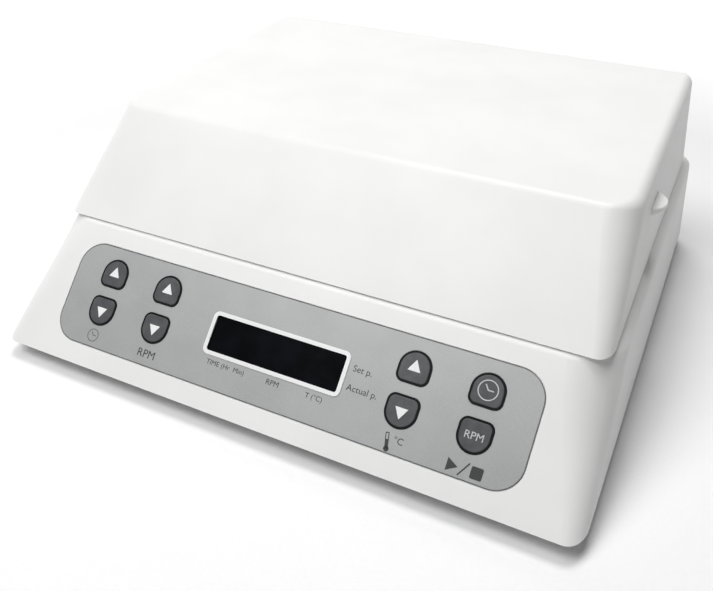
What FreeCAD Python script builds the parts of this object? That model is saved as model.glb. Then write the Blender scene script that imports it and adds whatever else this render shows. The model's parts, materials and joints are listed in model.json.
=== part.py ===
"""Incubating microplate shaker: a low bench unit with a sloped key panel, a hinged
heated lid and an orbiting platform for two microplates. Millimetres, +Z up, -Y is
the front, and the origin is the middle of the footprint at the feet's undersides."""
import FreeCAD, Part
import math
import os

Vec = FreeCAD.Vector
X_AXIS = Vec(1, 0, 0)
Y_AXIS = Vec(0, 1, 0)
Z_AXIS = Vec(0, 0, 1)

# How far a cutting shape reaches past what it cuts, and the least radius of an inner corner
overcut = 2.0
least_radius = 1.0
round_end_trim = 0.01

# Housing, outside sizes
base_width = 270.0
base_depth = 261.0
foot_height = 8.0
shell_wall = 3.0
slope_angle = 45.5
rim_height = 46.5
side_draft = 5.7
rear_draft = 5.2
front_corner_foot_radius = 8.0
front_corner_radius = 20.0
rear_corner_radius = 12.0
rim_radius = 5.0

# Lid, outside sizes; the heights are above the housing's underside
lid_wall = 3.0
lid_gap = 0.5
lid_front_ledge = 0.3
lid_side_ledge = 3.5
lid_rear_ledge = 8.0
lid_side_draft = 6.8
ridge_behind_rim = 39.9
ridge_rise = 42.0
lid_top_rear_inset = 16.6
lid_top_rise = 47.5
lid_front_corner_foot_radius = 7.0
lid_front_corner_radius = 14.0
lid_rear_corner_radius = 7.0
lid_top_radius = 5.0
tab_rear_inset = 133.0
tab_rise = 27.5
tab_width = 20.0
tab_reach = 5.4
tab_thickness = 4.0
tab_under_radius = 2.4
tab_edge_radius = 0.8

# Lid lining and lid heater
liner_gap = 3.0
liner_wall = 1.5
heater_plate_thickness = 2.0
heater_mat_thickness = 1.0
heater_edge_margin = 12.0
heater_corner_radius = 8.0
lid_boss_radius = 4.0
lid_boss_side_inset = 43.0
lid_screw_end_gap = 0.5
heater_mat_margin = 2.0
lid_boss_end_inset = 27.4

# Chamber well in the housing
well_side_margin = 14.86
well_front_margin = 18.3
well_rear_margin = 19.77
well_corner_radius = 14.0
tray_wall = 1.5
tray_flange = 2.5
tray_clearance = 0.2
tray_over_drive = 0.5
tray_shaft_gap = 3.0
tray_idler_gap = 1.0
seal_width = 3.0
seal_inset = 1.2
seal_groove_depth = 1.5
seal_stand = 0.4
seal_clearance = 0.15

# Front panel, on the slope; "up" is measured along the slope from its foot
panel_side_margin = 26.0
panel_end_margin = 9.45
panel_drop = 0.1
panel_corner_radius = 11.5
panel_thickness = 0.6
panel_clearance = 0.25
display_key_pitch = 27.8
display_height = 15.3
display_corner_radius = 1.0
display_border = 1.7
display_border_stand = 0.5
display_window_thickness = 2.0
display_window_depth = 0.5
display_fit = 0.2
display_window_corner = 0.8
display_cell_corner = 0.6
display_module_margin = 9.2
display_module_height = 24.0
key_width = 15.4
key_height = 14.5
key_corner_radius = 3.5
key_rows = 16.65
key_rows_rise = 2.1
key_outer_margin = 21.0
key_column_pitch = 29.4
key_stand = 1.5
key_edge_radius = 1.2
key_gap = 0.35
key_flange = 0.8
key_flange_thickness = 1.0
key_travel = 0.8
key_rest_gap = 0.1
switch_size = 6.0
switch_thickness = 3.5
key_stem_radius = 1.7
key_stem_bite = 0.5
key_stem_fit = 0.1
board_depth = 9.7
board_thickness = 1.6
board_side_margin = 2.0
board_reach_down = 15.0
board_reach_up = 23.5
board_corner_radius = 2.0
board_boss_radius = 3.0
board_boss_side_inset = 3.0
board_boss_key_gap = 13.6
board_boss_margin = 3.5
small_screw_radius = 1.5
small_screw_head = 2.8
small_screw_head_height = 1.6
small_screw_length = 5.0
screw_play = 0.1
screw_cross_width = 0.7

# Bottom plate, feet and their screws
bottom_thickness = 2.0
bottom_clearance = 0.3
foot_radius = 11.0
foot_side_inset = 28.0
foot_end_inset = 30.0
foot_recess_radius = 4.5
foot_recess_depth = 4.0
foot_taper = 1.0
foot_edge = 1.0
foot_screw_radius = 2.0
foot_screw_head_height = 2.0
foot_screw_clearance = 0.1
foot_nut_radius = 4.0
foot_nut_height = 3.0
foot_screw_end = 1.0
foot_screw_head_gap = 1.0
column_radius = 4.5
column_inset = 11.5
column_rim_gap = 14.3
column_middle_shift = 2.5
column_rear_inset = 27.0
front_column_inset = 14.0
front_column_back = 22.0
column_screw_radius = 1.5
floor_vent_count = 9
floor_vent_pitch = 8.0
floor_vent_width = 3.0
floor_vent_length = 26.0
floor_vent_gap = 62.0

# Drive: deck, bearings, motor, eccentric shaft
orbit_radius = 1.0
deck_margin = 8.0
deck_thickness = 3.0
deck_over_motor = 2.5
deck_corner_radius = 10.0
deck_post_radius = 5.0
deck_post_side_inset = 14.0
deck_post_end_inset = 4.0
shaft_radius = 4.0
bearing_radius = 11.0
bearing_height = 7.0
bearing_clearance = 0.03
bearing_ring_share = 0.22
bearing_shield_dip = 0.5
housing_shaft_room = 3.0
housing_wall = 2.5
housing_flange_radius = 19.0
housing_flange_height = 3.0
housing_over_rotor = 5.0
housing_over_deck = 4.0
bearing_floor = 1.0
stator_radius = 25.0
stator_over_housing = 0.5
stator_height = 9.0
stator_core = 3.0
stator_stem_width = 3.0
stator_coil_width = 4.8
stator_shoe_width = 9.0
stator_shoe = 2.0
stator_shoe_inset = 1.0
stator_teeth = 12
rotor_wall = 3.5
rotor_chamfer = 1.5
rotor_gap = 0.5
rotor_over_floor = 2.0
rotor_floor = 2.5
rotor_hub_wall = 4.0
rotor_hub_gap = 1.0
weight_radius = 34.0
weight_thickness = 4.0
weight_over_housing = 3.5
weight_hub_radius = 9.0
eccentric_radius = 2.5
eccentric_shoulder = 1.0
shaft_collar = 1.5
shaft_collar_height = 0.8
idler_side_inset = 16.0
idler_end_inset = 18.0
idler_shaft_radius = 4.0
idler_bush_radius = 6.0
idler_bush_flange_radius = 8.0
idler_bush_flange_height = 1.5
idler_disc_radius = 7.0
idler_disc_thickness = 2.0
idler_pin_radius = 2.5
idler_collar_radius = 5.5
idler_tail_thickness = 1.5
idler_gap = 0.3
pin_clearance = 0.04

# Platform and the microplates that it holds
platform_side_gap = 7.5
platform_end_gap = 8.5
platform_thickness = 6.0
platform_over_weight = 2.5
platform_corner_radius = 14.0
platform_hub_radius = 13.0
platform_hub_drop = 1.5
hub_bearing_radius = 8.0
hub_bearing_recess = 1.0
platform_skin = 1.0
platform_pin_room = 1.5
hub_bearing_height = 5.0
platform_bush_radius = 4.5
clamp_room = 18.5
plate_end_margin = 14.1
plate_play = 0.6
mat_thickness = 1.0
mat_gap = 0.3
mat_corner_radius = 3.0
plate_rail_width = 8.0
rail_height = 4.0
rail_edge_radius = 1.5
stop_length = 22.0
stop_width = 4.0
stop_margin = 8.0
stop_edge_radius = 1.0
clamp_travel = 4.0
clamp_bite = 0.7
clamp_width = 12.0
clamp_end_margin = 17.9
clamp_grip_length = 18.0
clamp_grip_rise = 3.0
clamp_edge_radius = 1.0
clamp_height = 6.0
clamp_gap = 0.2
clamp_screw_radius = 1.5
clamp_screw_end_inset = 12.0
clamp_screw_inset = 3.5
clamp_screw_depth = 4.0
clamp_screw_head = 3.0
clamp_screw_head_height = 1.5
clamp_slot_fit = 0.1
platform_heater_thickness = 1.2
platform_heater_side_margin = 26.0
platform_heater_end_margin = 18.0
platform_heater_middle_gap = 22.0
platform_heater_corner_radius = 4.0

# Hinges behind the lid
hinge_side_inset = 57.0
hinge_length = 36.0
hinge_lug = 9.0
hinge_gap = 0.4
hinge_radius = 3.4
hinge_pin_radius = 1.5
hinge_clearance = 0.05

# Rear panel and what it carries
rear_panel_side_margin = 28.0
rear_panel_low_margin = 6.5
rear_panel_high_margin = 9.0
rear_panel_thickness = 1.5
rear_panel_recess = 1.5
rear_frame_depth = 3.5
rear_frame_margin = 3.0
rear_panel_lip = 5.0
rear_panel_corner_radius = 3.0
rear_panel_clearance = 0.2
inlet_end_margin = 29.0
inlet_flange_width = 30.0
inlet_flange_height = 23.0
inlet_body_width = 26.6
inlet_body_height = 19.4
inlet_body_depth = 17.0
inlet_socket_width = 24.4
inlet_socket_height = 16.4
inlet_socket_depth = 15.0
inlet_socket_chamfer = 4.5
inlet_flange_thickness = 1.4
inlet_flange_corner = 3.0
inlet_body_corner = 2.0
inlet_pin_drop = 1.0
inlet_pin_pitch = 14.0
inlet_pin_width = 2.0
inlet_pin_height = 4.0
inlet_pin_length = 9.0
inlet_earth_up = 2.6
fit_gap = 0.15
fuse_inlet_pitch = 29.0
fuse_wall = 2.0
fuse_cap_stand = 0.6
fuse_cap_edge = 0.5
fuse_body_radius = 6.2
fuse_body_length = 16.0
fuse_collar_radius = 8.0
fuse_collar_thickness = 1.2
fuse_cap_radius = 5.4
fuse_slot_width = 1.4
switch_fuse_pitch = 25.0
rocker_housing_width = 15.0
rocker_housing_height = 21.0
rocker_body_width = 13.0
rocker_body_height = 19.0
rocker_body_depth = 14.0
rocker_flange = 1.4
rocker_flange_corner = 1.5
rocker_cutout_corner = 0.5
rocker_width = 9.6
rocker_height = 15.0
rocker_tilt = 9.0
rocker_side_gap = 0.2
rocker_end_gap = 1.2
rocker_hub_radius = 2.0
rocker_axis_depth = 2.5
rocker_web = 1.0
rocker_stand = 1.4
rocker_dip = 0.7
rocker_well_floor = 6.0
rear_screw_radius = 1.2
rear_screw_head = 2.2
rear_screw_head_height = 0.8
rear_screw_length = 6.0
vent_count = 14
vent_pitch = 6.0
vent_width = 2.6
vent_height = 15.0
vent_end_margin = 57.0

# Supply board in the space behind the deck
supply_length_margin = 96.0
supply_depth = 30.0
supply_end_margin = 60.0
supply_rear_inset = 25.0
supply_standoff = 4.0
supply_board_thickness = 1.6
supply_post_radius = 3.0
supply_post_inset = 5.0
supply_sinks = (15.0, 25.0)
supply_sink_thickness = 2.0
supply_part_height = 13.0
supply_transformer = 52.0
supply_transformer_length = 24.0
supply_capacitors = (80.0, 95.0)
supply_capacitor_radius = 6.0

# Temperature probe on the chamber's rear wall
probe_radius = 2.0
probe_length = 4.0
probe_rise = 3.0


def box(x0, x1, y0, y1, z0, z1):
    return Part.makeBox(x1 - x0, y1 - y0, z1 - z0, Vec(x0, y0, z0))


def rod(radius, x, y, z0, z1):
    return Part.makeCylinder(radius, z1 - z0, Vec(x, y, z0), Z_AXIS)


def tube(outer, inner, x, y, z0, z1):
    return rod(outer, x, y, z0, z1).cut(rod(inner, x, y, z0 - 1, z1 + 1))


def cross_rod(radius, x0, x1, y, z):
    return Part.makeCylinder(radius, x1 - x0, Vec(x0, y, z), X_AXIS)


def fuse(shapes):
    whole = shapes[0]
    for shape in shapes[1:]:
        whole = whole.fuse(shape)
    return whole.removeSplitter()


def rounded_outline(width, height, radius, z=0.0):
    """Closed wire of a rounded rectangle about the origin, in a plane of constant z."""
    a = width / 2
    b = height / 2
    k = radius * (1 - math.sqrt(0.5))
    corners = [(a, b, 1, 1), (-a, b, -1, 1), (-a, -b, -1, -1), (a, -b, 1, -1)]
    arcs = []
    for x, y, sx, sy in corners:
        first = Vec(x, y - sy * radius, z)
        last = Vec(x - sx * radius, y, z)
        if sx * sy < 0:
            first, last = last, first
        arcs.append((first, Vec(x - sx * k, y - sy * k, z), last))
    edges = []
    for index, (first, middle, last) in enumerate(arcs):
        edges.append(Part.Arc(first, middle, last).toShape())
        following = arcs[(index + 1) % len(arcs)][0]
        if last.distanceToPoint(following) > 1e-6:
            edges.append(Part.makeLine(last, following))
    return Part.Wire(edges)


def slab(width, depth, radius, z0, z1, x=0.0, y=0.0):
    """Rounded rectangular plate centred on x, y."""
    face = Part.Face(rounded_outline(width, depth, radius, z0))
    solid = face.extrude(Vec(0, 0, z1 - z0))
    solid.translate(Vec(x, y, 0))
    return solid


def ring_slab(width, depth, radius, band, z0, z1, x=0.0, y=0.0):
    """Rounded rectangular frame; the band is its width, inside the given outline."""
    outer = slab(width, depth, radius, z0, z1, x, y)
    inner = slab(width - 2 * band, depth - 2 * band, radius - band, z0 - 1, z1 + 1, x, y)
    return outer.cut(inner)


def turned(points, x=0.0, y=0.0):
    """Solid of revolution about a vertical axis, from (radius, z) points."""
    outline = [Vec(r, 0, z) for r, z in points]
    outline.append(outline[0])
    solid = Part.Face(Part.makePolygon(outline)).revolve(Vec(0, 0, 0), Z_AXIS, 360)
    solid.translate(Vec(x, y, 0))
    return solid


def centred(y):
    """Turns a distance behind the housing's front foot into the Y coordinate."""
    return y - base_depth / 2


def raised(z):
    """Turns a height above the housing's underside into the Z coordinate."""
    return foot_height + z


def tan(angle):
    return math.tan(math.radians(angle))


def cos(angle):
    return math.cos(math.radians(angle))


def sin(angle):
    return math.sin(math.radians(angle))


# Profiles of the two mouldings in the YZ plane, foot of the front first
rim_front = rim_height / tan(slope_angle)
rim_back = base_depth - rim_height * tan(rear_draft)
rim_half = base_width / 2 - rim_height * tan(side_draft)
lid_low = rim_height + lid_gap
lid_front = rim_front + lid_front_ledge
lid_back = rim_back - lid_rear_ledge
lid_half = rim_half - lid_side_ledge
ridge_back = rim_front + ridge_behind_rim
ridge_height = rim_height + ridge_rise
lid_top_back = base_depth - lid_top_rear_inset
lid_top_height = rim_height + lid_top_rise
tab_back = base_depth - tab_rear_inset
tab_height = rim_height + tab_rise
lid_boss_side = base_width / 2 - lid_boss_side_inset
lid_boss_along = (lid_top_back - ridge_back) / 2 - lid_boss_end_inset
hinge_side = base_width / 2 - hinge_side_inset
base_profile = [(0.0, 0.0), (rim_front, rim_height), (rim_back, rim_height), (base_depth, 0.0)]
lid_profile = [
    (lid_front, lid_low),
    (ridge_back, ridge_height),
    (lid_top_back, lid_top_height),
    (lid_back, lid_low),
]


def inset_profile(profile, offsets):
    """Moves each side of a four-sided YZ profile inwards by its own offset."""
    lines = []
    for index, (y0, z0) in enumerate(profile):
        y1, z1 = profile[(index + 1) % len(profile)]
        length = math.hypot(y1 - y0, z1 - z0)
        along = ((y1 - y0) / length, (z1 - z0) / length)
        inward = (along[1], -along[0])
        start = (y0 + inward[0] * offsets[index], z0 + inward[1] * offsets[index])
        lines.append((start, along))
    points = []
    for index, (start, along) in enumerate(lines):
        before, back = lines[index - 1]
        cross = back[0] * along[1] - back[1] * along[0]
        gap = (start[0] - before[0], start[1] - before[1])
        reach = (gap[0] * along[1] - gap[1] * along[0]) / cross
        points.append((before[0] + back[0] * reach, before[1] + back[1] * reach))
    return points


def leaning_block(profile, half, low, draft):
    """Six-sided solid of a YZ profile; half is the half width at the height low, and the
    side walls lean in by the draft above it."""
    rings = []
    for side in (-1, 1):
        ring = []
        for y, z in profile:
            x = side * (half - (z - low) * tan(draft))
            ring.append(Vec(x, centred(y), raised(z)))
        rings.append(ring)
    faces = [Part.Face(Part.makePolygon(ring + [ring[0]])) for ring in rings]
    for index in range(len(profile)):
        after = (index + 1) % len(profile)
        quad = [rings[0][index], rings[0][after], rings[1][after], rings[1][index]]
        faces.append(Part.Face(Part.makePolygon(quad + [quad[0]])))
    return Part.Solid(Part.Shell(faces))


def leaning_edges(solid, profile, first, second):
    """The two edges that join profile points first and second, one on each side."""
    y0, z0 = profile[first]
    y1, z1 = profile[second]
    middle = Vec(0, centred((y0 + y1) / 2), raised((z0 + z1) / 2))
    found = []
    for edge in solid.Edges:
        centre = edge.CenterOfMass
        if abs(centre.y - middle.y) < 0.01 and abs(centre.z - middle.z) < 0.01 and abs(centre.x) > 1:
            found.append(edge)
    return found


def top_face(solid):
    """The flat face that looks up most directly and lies highest."""
    flat = [face for face in solid.Faces if isinstance(face.Surface, Part.Plane)]
    level = [face for face in flat if face.normalAt(0, 0).z > 0.9]
    return max(level, key=lambda face: face.CenterOfMass.z)


def moulding(profile, half, low, draft, front_radii, rear_radius, top_radius):
    """Leaning block with rounded upright corners and a rounded top edge. The two front
    corners grow from the first of their radii at the foot to the second at the top."""
    solid = leaning_block(profile, half, low, draft)
    for edge in leaning_edges(solid, profile, 0, 1):
        foot, top = front_radii
        if edge.firstVertex(True).Z > edge.lastVertex(True).Z:
            foot, top = top, foot
        same = [e for e in leaning_edges(solid, profile, 0, 1) if e.CenterOfMass.x * edge.CenterOfMass.x > 0]
        solid = solid.makeFillet(foot, top, same)
    solid = solid.makeFillet(rear_radius, leaning_edges(solid, profile, 2, 3))
    return solid.makeFillet(top_radius, top_face(solid).Edges)


def base_form(inset, drop=0.0):
    """The housing's outside, or the same form moved in by the inset; the drop carries
    its underside further down, to cut a hollow that is open below."""
    profile = inset_profile(base_profile, (inset, inset, inset, -drop))
    half = base_width / 2 - inset / cos(side_draft)
    return moulding(
        profile,
        half,
        0.0,
        side_draft,
        (front_corner_foot_radius - inset, front_corner_radius - inset),
        rear_corner_radius - inset,
        max(rim_radius - inset, least_radius),
    )


def lid_form(inset, drop=0.0):
    """The lid's outside, or the same form moved in by the inset."""
    profile = inset_profile(lid_profile, (inset, inset, inset, -drop))
    half = lid_half - inset / cos(lid_side_draft)
    return moulding(
        profile,
        half,
        lid_low,
        lid_side_draft,
        (
            max(lid_front_corner_foot_radius - inset, 2 * least_radius),
            max(lid_front_corner_radius - inset, 2 * least_radius),
        ),
        max(lid_rear_corner_radius - inset, 2 * least_radius),
        max(lid_top_radius - inset, 1.5 * least_radius),
    )


def on_slope(shape):
    """Places a shape modelled flat: x across, y up the slope, z out of the slope."""
    placed = shape.copy()
    placed.rotate(Vec(0, 0, 0), X_AXIS, slope_angle)
    placed.translate(Vec(0, centred(0), raised(0)))
    return placed


def on_rear(shape):
    """Places a shape modelled flat: x to the viewer's left from behind, y up the rear
    wall and z out of it."""
    placed = shape.copy()
    placed.rotate(Vec(0, 0, 0), X_AXIS, 90)
    placed.rotate(Vec(0, 0, 0), Z_AXIS, 180)
    placed.rotate(Vec(0, 0, 0), X_AXIS, rear_draft)
    placed.translate(Vec(0, centred(base_depth), raised(0)))
    return placed


def key_outline(width, height, corner, z):
    """Arched outline: a round head of half the width above a foot with rounded corners."""
    a = width / 2
    head = height / 2 - a
    foot = -height / 2
    k = corner * (1 - math.sqrt(0.5))
    edges = [
        Part.Arc(Vec(a, head, z), Vec(0, height / 2, z), Vec(-a, head, z)).toShape(),
        Part.makeLine(Vec(-a, head, z), Vec(-a, foot + corner, z)),
        Part.Arc(
            Vec(-a, foot + corner, z), Vec(-a + k, foot + k, z), Vec(-a + corner, foot, z)
        ).toShape(),
        Part.makeLine(Vec(-a + corner, foot, z), Vec(a - corner, foot, z)),
        Part.Arc(
            Vec(a - corner, foot, z), Vec(a - k, foot + k, z), Vec(a, foot + corner, z)
        ).toShape(),
        Part.makeLine(Vec(a, foot + corner, z), Vec(a, head, z)),
    ]
    return Part.Wire(edges)


def key_prism(grow, z0, z1, x, up, turn):
    """Straight prism of the key's outline, larger all round by grow."""
    wire = key_outline(key_width + 2 * grow, key_height + 2 * grow, key_corner_radius + grow, z0)
    solid = Part.Face(wire).extrude(Vec(0, 0, z1 - z0))
    solid.rotate(Vec(0, 0, 0), Z_AXIS, turn)
    solid.translate(Vec(x, up, 0))
    return solid


# The panel on the slope and the board behind it
slope_length = rim_height / sin(slope_angle)
panel_width = base_width - 2 * panel_side_margin
panel_height = slope_length - 2 * panel_end_margin
panel_up = slope_length / 2 - panel_drop
key_row_centre = panel_up + key_rows_rise
key_outer_column = panel_width / 2 - key_outer_margin
key_inner_column = key_outer_column - key_column_pitch
display_width = 2 * (key_inner_column - display_key_pitch)
display_module_length = display_width + 2 * display_module_margin
board_width = panel_width - 2 * board_side_margin
board_bottom = panel_up - board_reach_down
board_top = panel_up + board_reach_up
board_boss_columns = (
    board_width / 2 - board_boss_side_inset,
    key_inner_column - board_boss_key_gap,
)

# The eight keys: name, x, height up the slope, and turn of the outline. The upper row
# has its round head up, the lower row is the same outline turned over.
upper_row = key_row_centre + key_rows / 2
lower_row = key_row_centre - key_rows / 2
keys = [
    ("key_time_up", -key_outer_column, upper_row, 0),
    ("key_time_down", -key_outer_column, lower_row, 180),
    ("key_speed_up", -key_inner_column, upper_row, 0),
    ("key_speed_down", -key_inner_column, lower_row, 180),
    ("key_heat_up", key_inner_column, upper_row, 0),
    ("key_heat_down", key_inner_column, lower_row, 180),
    ("key_timer", key_outer_column, upper_row, 0),
    ("key_run", key_outer_column, lower_row, 180),
]

# The well, and from the floor upwards the stack of the drive that works in it
well_width = 2 * (rim_half - well_side_margin)
well_front = rim_front + well_front_margin
well_back = rim_back - well_rear_margin
well_middle = (well_front + well_back) / 2
well_depth = well_back - well_front
drive_y = centred(well_middle)
rotor_low = bottom_thickness + rotor_over_floor
housing_low = rotor_low + housing_over_rotor
stator_low = housing_low + stator_over_housing
deck_height = stator_low + stator_height + deck_over_motor
housing_top = deck_height + deck_thickness + housing_over_deck
tray_floor_height = housing_top + tray_over_drive
weight_low = housing_top + weight_over_housing
platform_height = weight_low + weight_thickness + platform_over_weight

# The platform and what stands on it
platform_width = well_width - 2 * platform_side_gap
platform_depth = well_depth - 2 * platform_end_gap
plate_width = (platform_width - plate_rail_width) / 2 - clamp_room
plate_length = platform_depth - 2 * plate_end_margin
clamp_length = plate_length - 2 * clamp_end_margin
clamp_screw_side = clamp_length / 2 - clamp_screw_end_inset
idler_side = platform_width / 2 - idler_side_inset
idler_end = platform_depth / 2 - idler_end_inset
deck_width = 2 * (idler_side + deck_margin)
deck_depth = 2 * (idler_end + deck_margin)
deck_post_side = idler_side - deck_post_side_inset
deck_post_end = idler_end - deck_post_end_inset

sides = (-1, 1)
corners = [(sx, sy) for sx in sides for sy in sides]
board_bosses = [
    (s * column, up)
    for s in sides
    for column in board_boss_columns
    for up in (board_bottom + board_boss_margin, board_top - board_boss_margin)
]
column_backs = (
    rim_front + column_rim_gap,
    well_middle - column_middle_shift,
    base_depth - column_rear_inset,
)
columns = [(s * (base_width / 2 - column_inset), back) for s in sides for back in column_backs]
columns += [(s * (base_width / 2 - front_column_inset), front_column_back) for s in sides]
feet = [
    (sx * (base_width / 2 - foot_side_inset), sy * (base_depth / 2 - foot_end_inset))
    for sx, sy in corners
]
deck_posts = [(sx * deck_post_side, drive_y + sy * deck_post_end) for sx, sy in corners]
lid_bosses = [(sx * lid_boss_side, sy * lid_boss_along) for sx, sy in corners]
idlers = [
    ("idler_front_left", -1, -1),
    ("idler_front_right", 1, -1),
    ("idler_rear_left", -1, 1),
    ("idler_rear_right", 1, 1),
]
seal_outer_width = well_width + 2 * (tray_wall + tray_flange + seal_inset + seal_width)
seal_outer_depth = well_depth + 2 * (tray_wall + tray_flange + seal_inset + seal_width)
seal_outer_radius = well_corner_radius + tray_wall + tray_flange + seal_inset + seal_width
hinge_back = lid_back + hinge_radius + hinge_gap
hinge_height = rim_height + hinge_radius + hinge_gap
flange_low = -shell_wall - key_rest_gap - key_flange_thickness
switch_top = switch_thickness - board_depth
key_stem_low = switch_top - key_stem_bite
rear_panel_width = base_width - 2 * rear_panel_side_margin
rear_panel_height = rim_height - rear_panel_low_margin - rear_panel_high_margin
rear_panel_up = rear_panel_low_margin + rear_panel_height / 2
rear_face = -rear_panel_recess
inlet_side = rear_panel_width / 2 - inlet_end_margin
fuse_side = inlet_side - fuse_inlet_pitch
switch_side = fuse_side - switch_fuse_pitch
vent_side = vent_end_margin - rear_panel_width / 2
supply_length = rear_panel_width - supply_length_margin
supply_side = supply_end_margin - rear_panel_width / 2
supply_back = base_depth - supply_rear_inset
bush_top = deck_height + deck_thickness + idler_bush_flange_height
shaft_top = weight_low + weight_thickness
hub_bearing_low = platform_height - platform_hub_drop + hub_bearing_recess
hub_bearing_top = hub_bearing_low + hub_bearing_height


def base_shell():
    """White housing: sloped front, leaning walls and a broad rim round the well."""
    outer = base_form(0.0)
    shell = outer.cut(base_form(shell_wall, overcut))
    inside = [rear_frame()]
    inner_top = raised(rim_height - shell_wall / 2)
    for x, back in columns:
        inside.append(rod(column_radius, x, centred(back), raised(bottom_thickness), inner_top))
    for x, up in board_bosses:
        inside.append(on_slope(rod(board_boss_radius, x, up, -board_depth, -shell_wall / 2)))
    lugs = hinge_lugs(-1) + hinge_lugs(1)
    shell = fuse([shell] + [piece.common(outer) for piece in inside] + lugs)
    cuts = []
    low = raised(rim_height - 2 * shell_wall)
    high = raised(rim_height)
    middle = centred(well_middle)
    opening = 2 * (tray_wall + tray_clearance)
    cuts.append(slab(
        well_width + opening,
        well_depth + opening,
        well_corner_radius + opening / 2,
        low,
        high + 1,
        0,
        middle,
    ))
    rebate = 2 * (tray_wall + tray_flange + tray_clearance)
    cuts.append(slab(
        well_width + rebate,
        well_depth + rebate,
        well_corner_radius + rebate / 2,
        high - tray_wall - tray_clearance,
        high + 1,
        0,
        middle,
    ))
    cuts.append(ring_slab(
        seal_outer_width + 2 * seal_clearance,
        seal_outer_depth + 2 * seal_clearance,
        seal_outer_radius + seal_clearance,
        seal_width + 2 * seal_clearance,
        high - seal_groove_depth,
        high + 1,
        0,
        middle,
    ))
    cuts.append(on_slope(slab(
        panel_width + 2 * panel_clearance,
        panel_height + 2 * panel_clearance,
        panel_corner_radius + panel_clearance,
        -panel_thickness,
        shell_wall,
        0,
        panel_up,
    )))
    for _, x, up, turn in keys:
        cuts.append(on_slope(key_prism(key_gap, -2 * shell_wall, 1, x, up, turn)))
    cuts.append(on_slope(slab(
        display_width + 2 * display_fit,
        display_height + 2 * display_fit,
        display_corner_radius,
        -2 * shell_wall,
        1,
        0,
        panel_up,
    )))
    for x, up in board_bosses:
        hole = rod(small_screw_radius, x, up, -board_depth - 1, -board_depth + small_screw_length)
        cuts.append(on_slope(hole))
    for x, back in columns:
        top = raised(bottom_thickness + 2 * small_screw_length)
        cuts.append(rod(column_screw_radius, x, centred(back), raised(0), top))
    window = 2 * rear_panel_lip
    cuts.append(on_rear(slab(
        rear_panel_width - window,
        rear_panel_height - window,
        rear_panel_corner_radius,
        -2 * (shell_wall + rear_frame_depth),
        shell_wall,
        0,
        rear_panel_up,
    )))
    cuts.append(on_rear(slab(
        rear_panel_width + 2 * rear_panel_clearance,
        rear_panel_height + 2 * rear_panel_clearance,
        rear_panel_corner_radius,
        rear_face - rear_panel_thickness,
        shell_wall,
        0,
        rear_panel_up,
    )))
    for x, y in rear_screw_places():
        cuts.append(on_rear(rod(rear_screw_radius, x, y, -rear_screw_length, 0)))
    return shell.cut(cuts[0].multiFuse(cuts[1:]))


def rear_frame():
    """Thicker frame inside the rear window, which takes the panel's screws."""
    edge = 2 * rear_frame_margin
    frame = slab(
        rear_panel_width + edge,
        rear_panel_height + edge,
        rear_panel_corner_radius + rear_frame_margin,
        -shell_wall - rear_frame_depth,
        -shell_wall / 2,
        0,
        rear_panel_up,
    )
    return on_rear(frame)


def hinge_lugs(side):
    """The two fixed lugs of one hinge, standing on the rim behind the lid."""
    lugs = []
    y = centred(hinge_back)
    z = raised(hinge_height)
    foot = raised(rim_height - rim_radius)
    start = side * hinge_side - hinge_length / 2
    for x in (start, start + hinge_length - hinge_lug):
        barrel = cross_rod(hinge_radius, x, x + hinge_lug, y, z)
        block = box(x, x + hinge_lug, y - hinge_radius, y + hinge_radius, foot, z)
        bore = cross_rod(hinge_pin_radius, x - 1, x + hinge_lug + 1, y, z)
        lugs.append(barrel.fuse(block).cut(bore))
    return lugs


def hinge_pins():
    pins = []
    for side in sides:
        start = side * hinge_side - hinge_length / 2
        y = centred(hinge_back)
        pin = cross_rod(hinge_pin_radius, start, start + hinge_length, y, raised(hinge_height))
        pins.append(pin)
    return Part.makeCompound(pins)


def lid_shell():
    """White lid with a finger tab on each side and a hinge barrel on each rear arm."""
    outer = lid_form(0.0)
    pieces = [outer.cut(lid_form(lid_wall, overcut))]
    for x, y in lid_bosses:
        boss = rod(lid_boss_radius, x, y, -lid_wall - liner_gap, -lid_wall / 2)
        pieces.append(at_lid_top(boss))
    for side in sides:
        pieces.append(finger_tab(side))
        pieces.append(lid_barrel(side))
    shell = fuse(pieces)
    for side in sides:
        start = side * hinge_side - hinge_length / 2
        y = centred(hinge_back)
        z = raised(hinge_height)
        bore_radius = hinge_pin_radius + hinge_clearance
        shell = shell.cut(cross_rod(bore_radius, start, start + hinge_length, y, z))
    for x, y in lid_bosses:
        hole = rod(small_screw_radius, x, y, -lid_plate_low(), -lid_wall)
        shell = shell.cut(at_lid_top(hole))
    return shell


def lid_half_at(height):
    return lid_half - (height - lid_low) * tan(lid_side_draft)


def finger_tab(side):
    """Half-round lifting tab, flat on top and rounded underneath."""
    wall = lid_half_at(tab_height)
    radius = (tab_width ** 2 / 4 + tab_reach ** 2) / (2 * tab_reach)
    x = side * (wall + tab_reach - radius)
    top = raised(tab_height)
    disc = rod(radius, x, centred(tab_back), top - tab_thickness, top)
    under = [edge for edge in rim_edges(disc) if edge.CenterOfMass.z < top - tab_thickness / 2]
    disc = disc.makeFillet(tab_under_radius, under)
    over = [edge for edge in rim_edges(disc) if edge.CenterOfMass.z > top - tab_thickness / 8]
    disc = disc.makeFillet(tab_edge_radius, over)
    inner = wall - lid_wall / 2
    keep = box(inner, wall + tab_width, -base_depth, base_depth, 0, 2 * lid_top_height)
    if side < 0:
        keep = keep.mirror(Vec(0, 0, 0), X_AXIS)
    return disc.common(keep)


def rim_edges(disc):
    """The round edges at a disc's two ends."""
    return [edge for edge in disc.Edges if isinstance(edge.Curve, Part.Circle)]


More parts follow.
